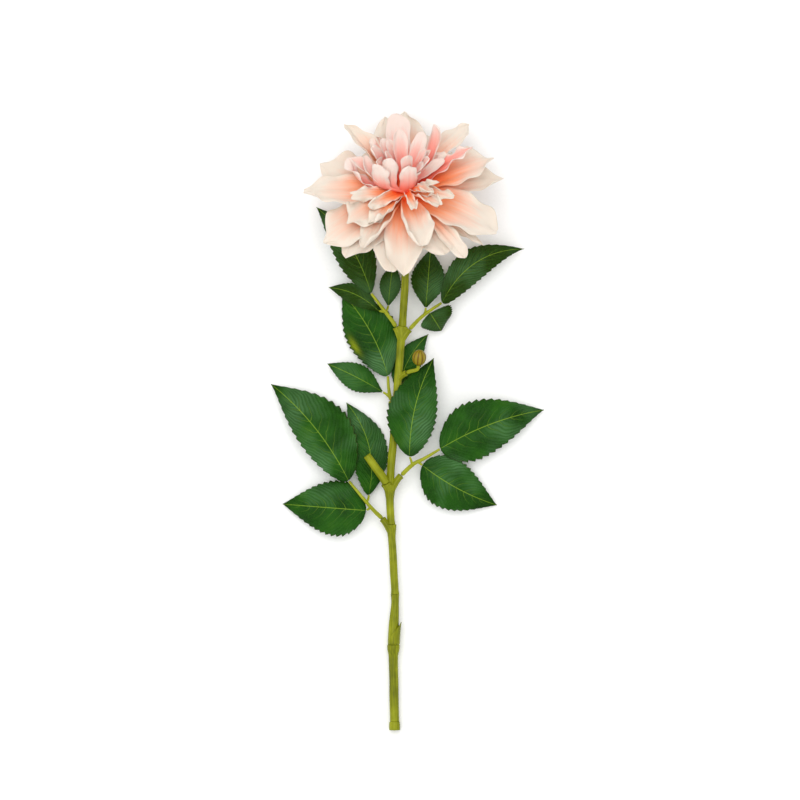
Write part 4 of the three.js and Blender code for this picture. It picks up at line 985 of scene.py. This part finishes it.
# %% Calyx piece
SEPALS = 8
calyx_cup = turned_disc([(3.2, -14), (3.6, -13.4), (5.5, -11), (8, -8), (9.4, -6), (9.6, -4.2), (9, -2.5),
                         (7, -2.3)])
sepal_rows = [(360 / SEPALS * i + 20, -30.7, 10, 24, 4.6, -6, {}) for i in range(SEPALS)]
sepals = petals(sepal_rows, root=5, widest=0.4, cup=0.5, cup_tip=0.3, wave=0.3, ruffle=0.1, pleat=0.1,
                taper=1.1, shoulder=1.3, steps_along=24, steps_across=13)
calyx_plastic = moulded_polyethylene("leaf_green_polyethylene", "#6F8A2A", "#4F6E1C", "#3A5714")
calyx_parts = [calyx_cup] + sepals
for part in calyx_parts:
    part["values"] = {"run": part["points"][:, [1, 0, 2]] * MM}
add_piece("calyx_skin", calyx_parts, calyx_plastic, "calyx", "calyx")

# %% [markdown]
# ## Table, light and camera
#
# The photograph has a plain white ground and broad frontal light with hardly a shadow. So the floor is
# pale, the sky is white, brightest overhead, and one large soft lamp hangs near the camera. The camera
# looks straight down with a long lens, and its frame is the photograph's: 800 pixels of 0.775 mm.


# %% Floor
def matt_white_card():
    """Uncoated card: white, fully rough, with a faint grain 2 mm across."""
    material, tree, shader = new_material("matt_white_card")
    place = add_node(tree, "TexCoord")
    grain = add_node(tree, "TexNoise", {"Vector": place.outputs["Object"], "Scale": 500.0})
    tint = add_node(tree, "ValToRGB", {0: grain}, [(0.3, "#FAFAF9"), (0.7, "#FDFDFC")])
    set_sockets(tree, shader, {"Base Color": tint, "Roughness": 0.95, "Specular IOR Level": 0.1})
    return material


FLOOR_HALF = 4000 * MM
floor_mesh = bpy.data.meshes.new("floor")
floor_corners = [(x * FLOOR_HALF, y * FLOOR_HALF, 0) for x, y in ((-1, -1), (1, -1), (1, 1), (-1, 1))]
floor_mesh.from_pydata(floor_corners, [], [(0, 1, 2, 3)])
floor = bpy.data.objects.new("floor", floor_mesh)
floor.data.materials.append(matt_white_card())
bpy.context.scene.collection.objects.link(floor)

# %% Light
world = bpy.data.worlds.new("white_room")
world.use_nodes = True
sky = world.node_tree
direction = add_node(sky, "TexCoord")
height = add_node(sky, "SeparateXYZ", {0: direction.outputs["Generated"]})
brightness = add_node(sky, "MapRange", {0: height.outputs[2], 1: 0.0, 2: 1.0, 3: 0.7, 4: 0.95})
set_sockets(sky, sky.nodes["Background"], {"Strength": brightness, "Color": linear("#FFFFFF")})
bpy.context.scene.world = world
lamp_data = bpy.data.lights.new("soft_box", "AREA")
lamp_data.shape = "DISK"
lamp_data.size = 1.6
lamp_data.energy = 14
lamp = bpy.data.objects.new("soft_box", lamp_data)
lamp.location = (-0.2, 0.3, 1.6)
LAMP_LEAN = np.arctan2(-0.2, 1.6)
lamp.rotation_euler = (LAMP_LEAN, LAMP_LEAN, 0)
bpy.context.scene.collection.objects.link(lamp)
bpy.context.scene.view_settings.view_transform = "Standard"
print(f"lamp: {lamp_data.energy:.0f} W, {lamp_data.size:.1f} m across")

# %% Camera
PIXEL = 0.775
FRAME_PIXELS = 800
STEM_COLUMN, MIDDLE_ROW = 407.5, 422
FOCUS_HEIGHT = 35
camera_data = bpy.data.cameras.new("camera")
camera_data.sensor_width = 36
camera_data.lens = 200
camera = bpy.data.objects.new("camera", camera_data)
distance = PIXEL * FRAME_PIXELS * camera_data.lens / camera_data.sensor_width
camera.location = (
    (FRAME_PIXELS / 2 - STEM_COLUMN) * PIXEL * MM,
    (MIDDLE_ROW - FRAME_PIXELS / 2) * PIXEL * MM,
    (distance + FOCUS_HEIGHT) * MM,
)
camera_data.clip_end = 20
bpy.context.scene.collection.objects.link(camera)
bpy.context.scene.camera = camera
print("camera height in mm:", round(distance + FOCUS_HEIGHT))
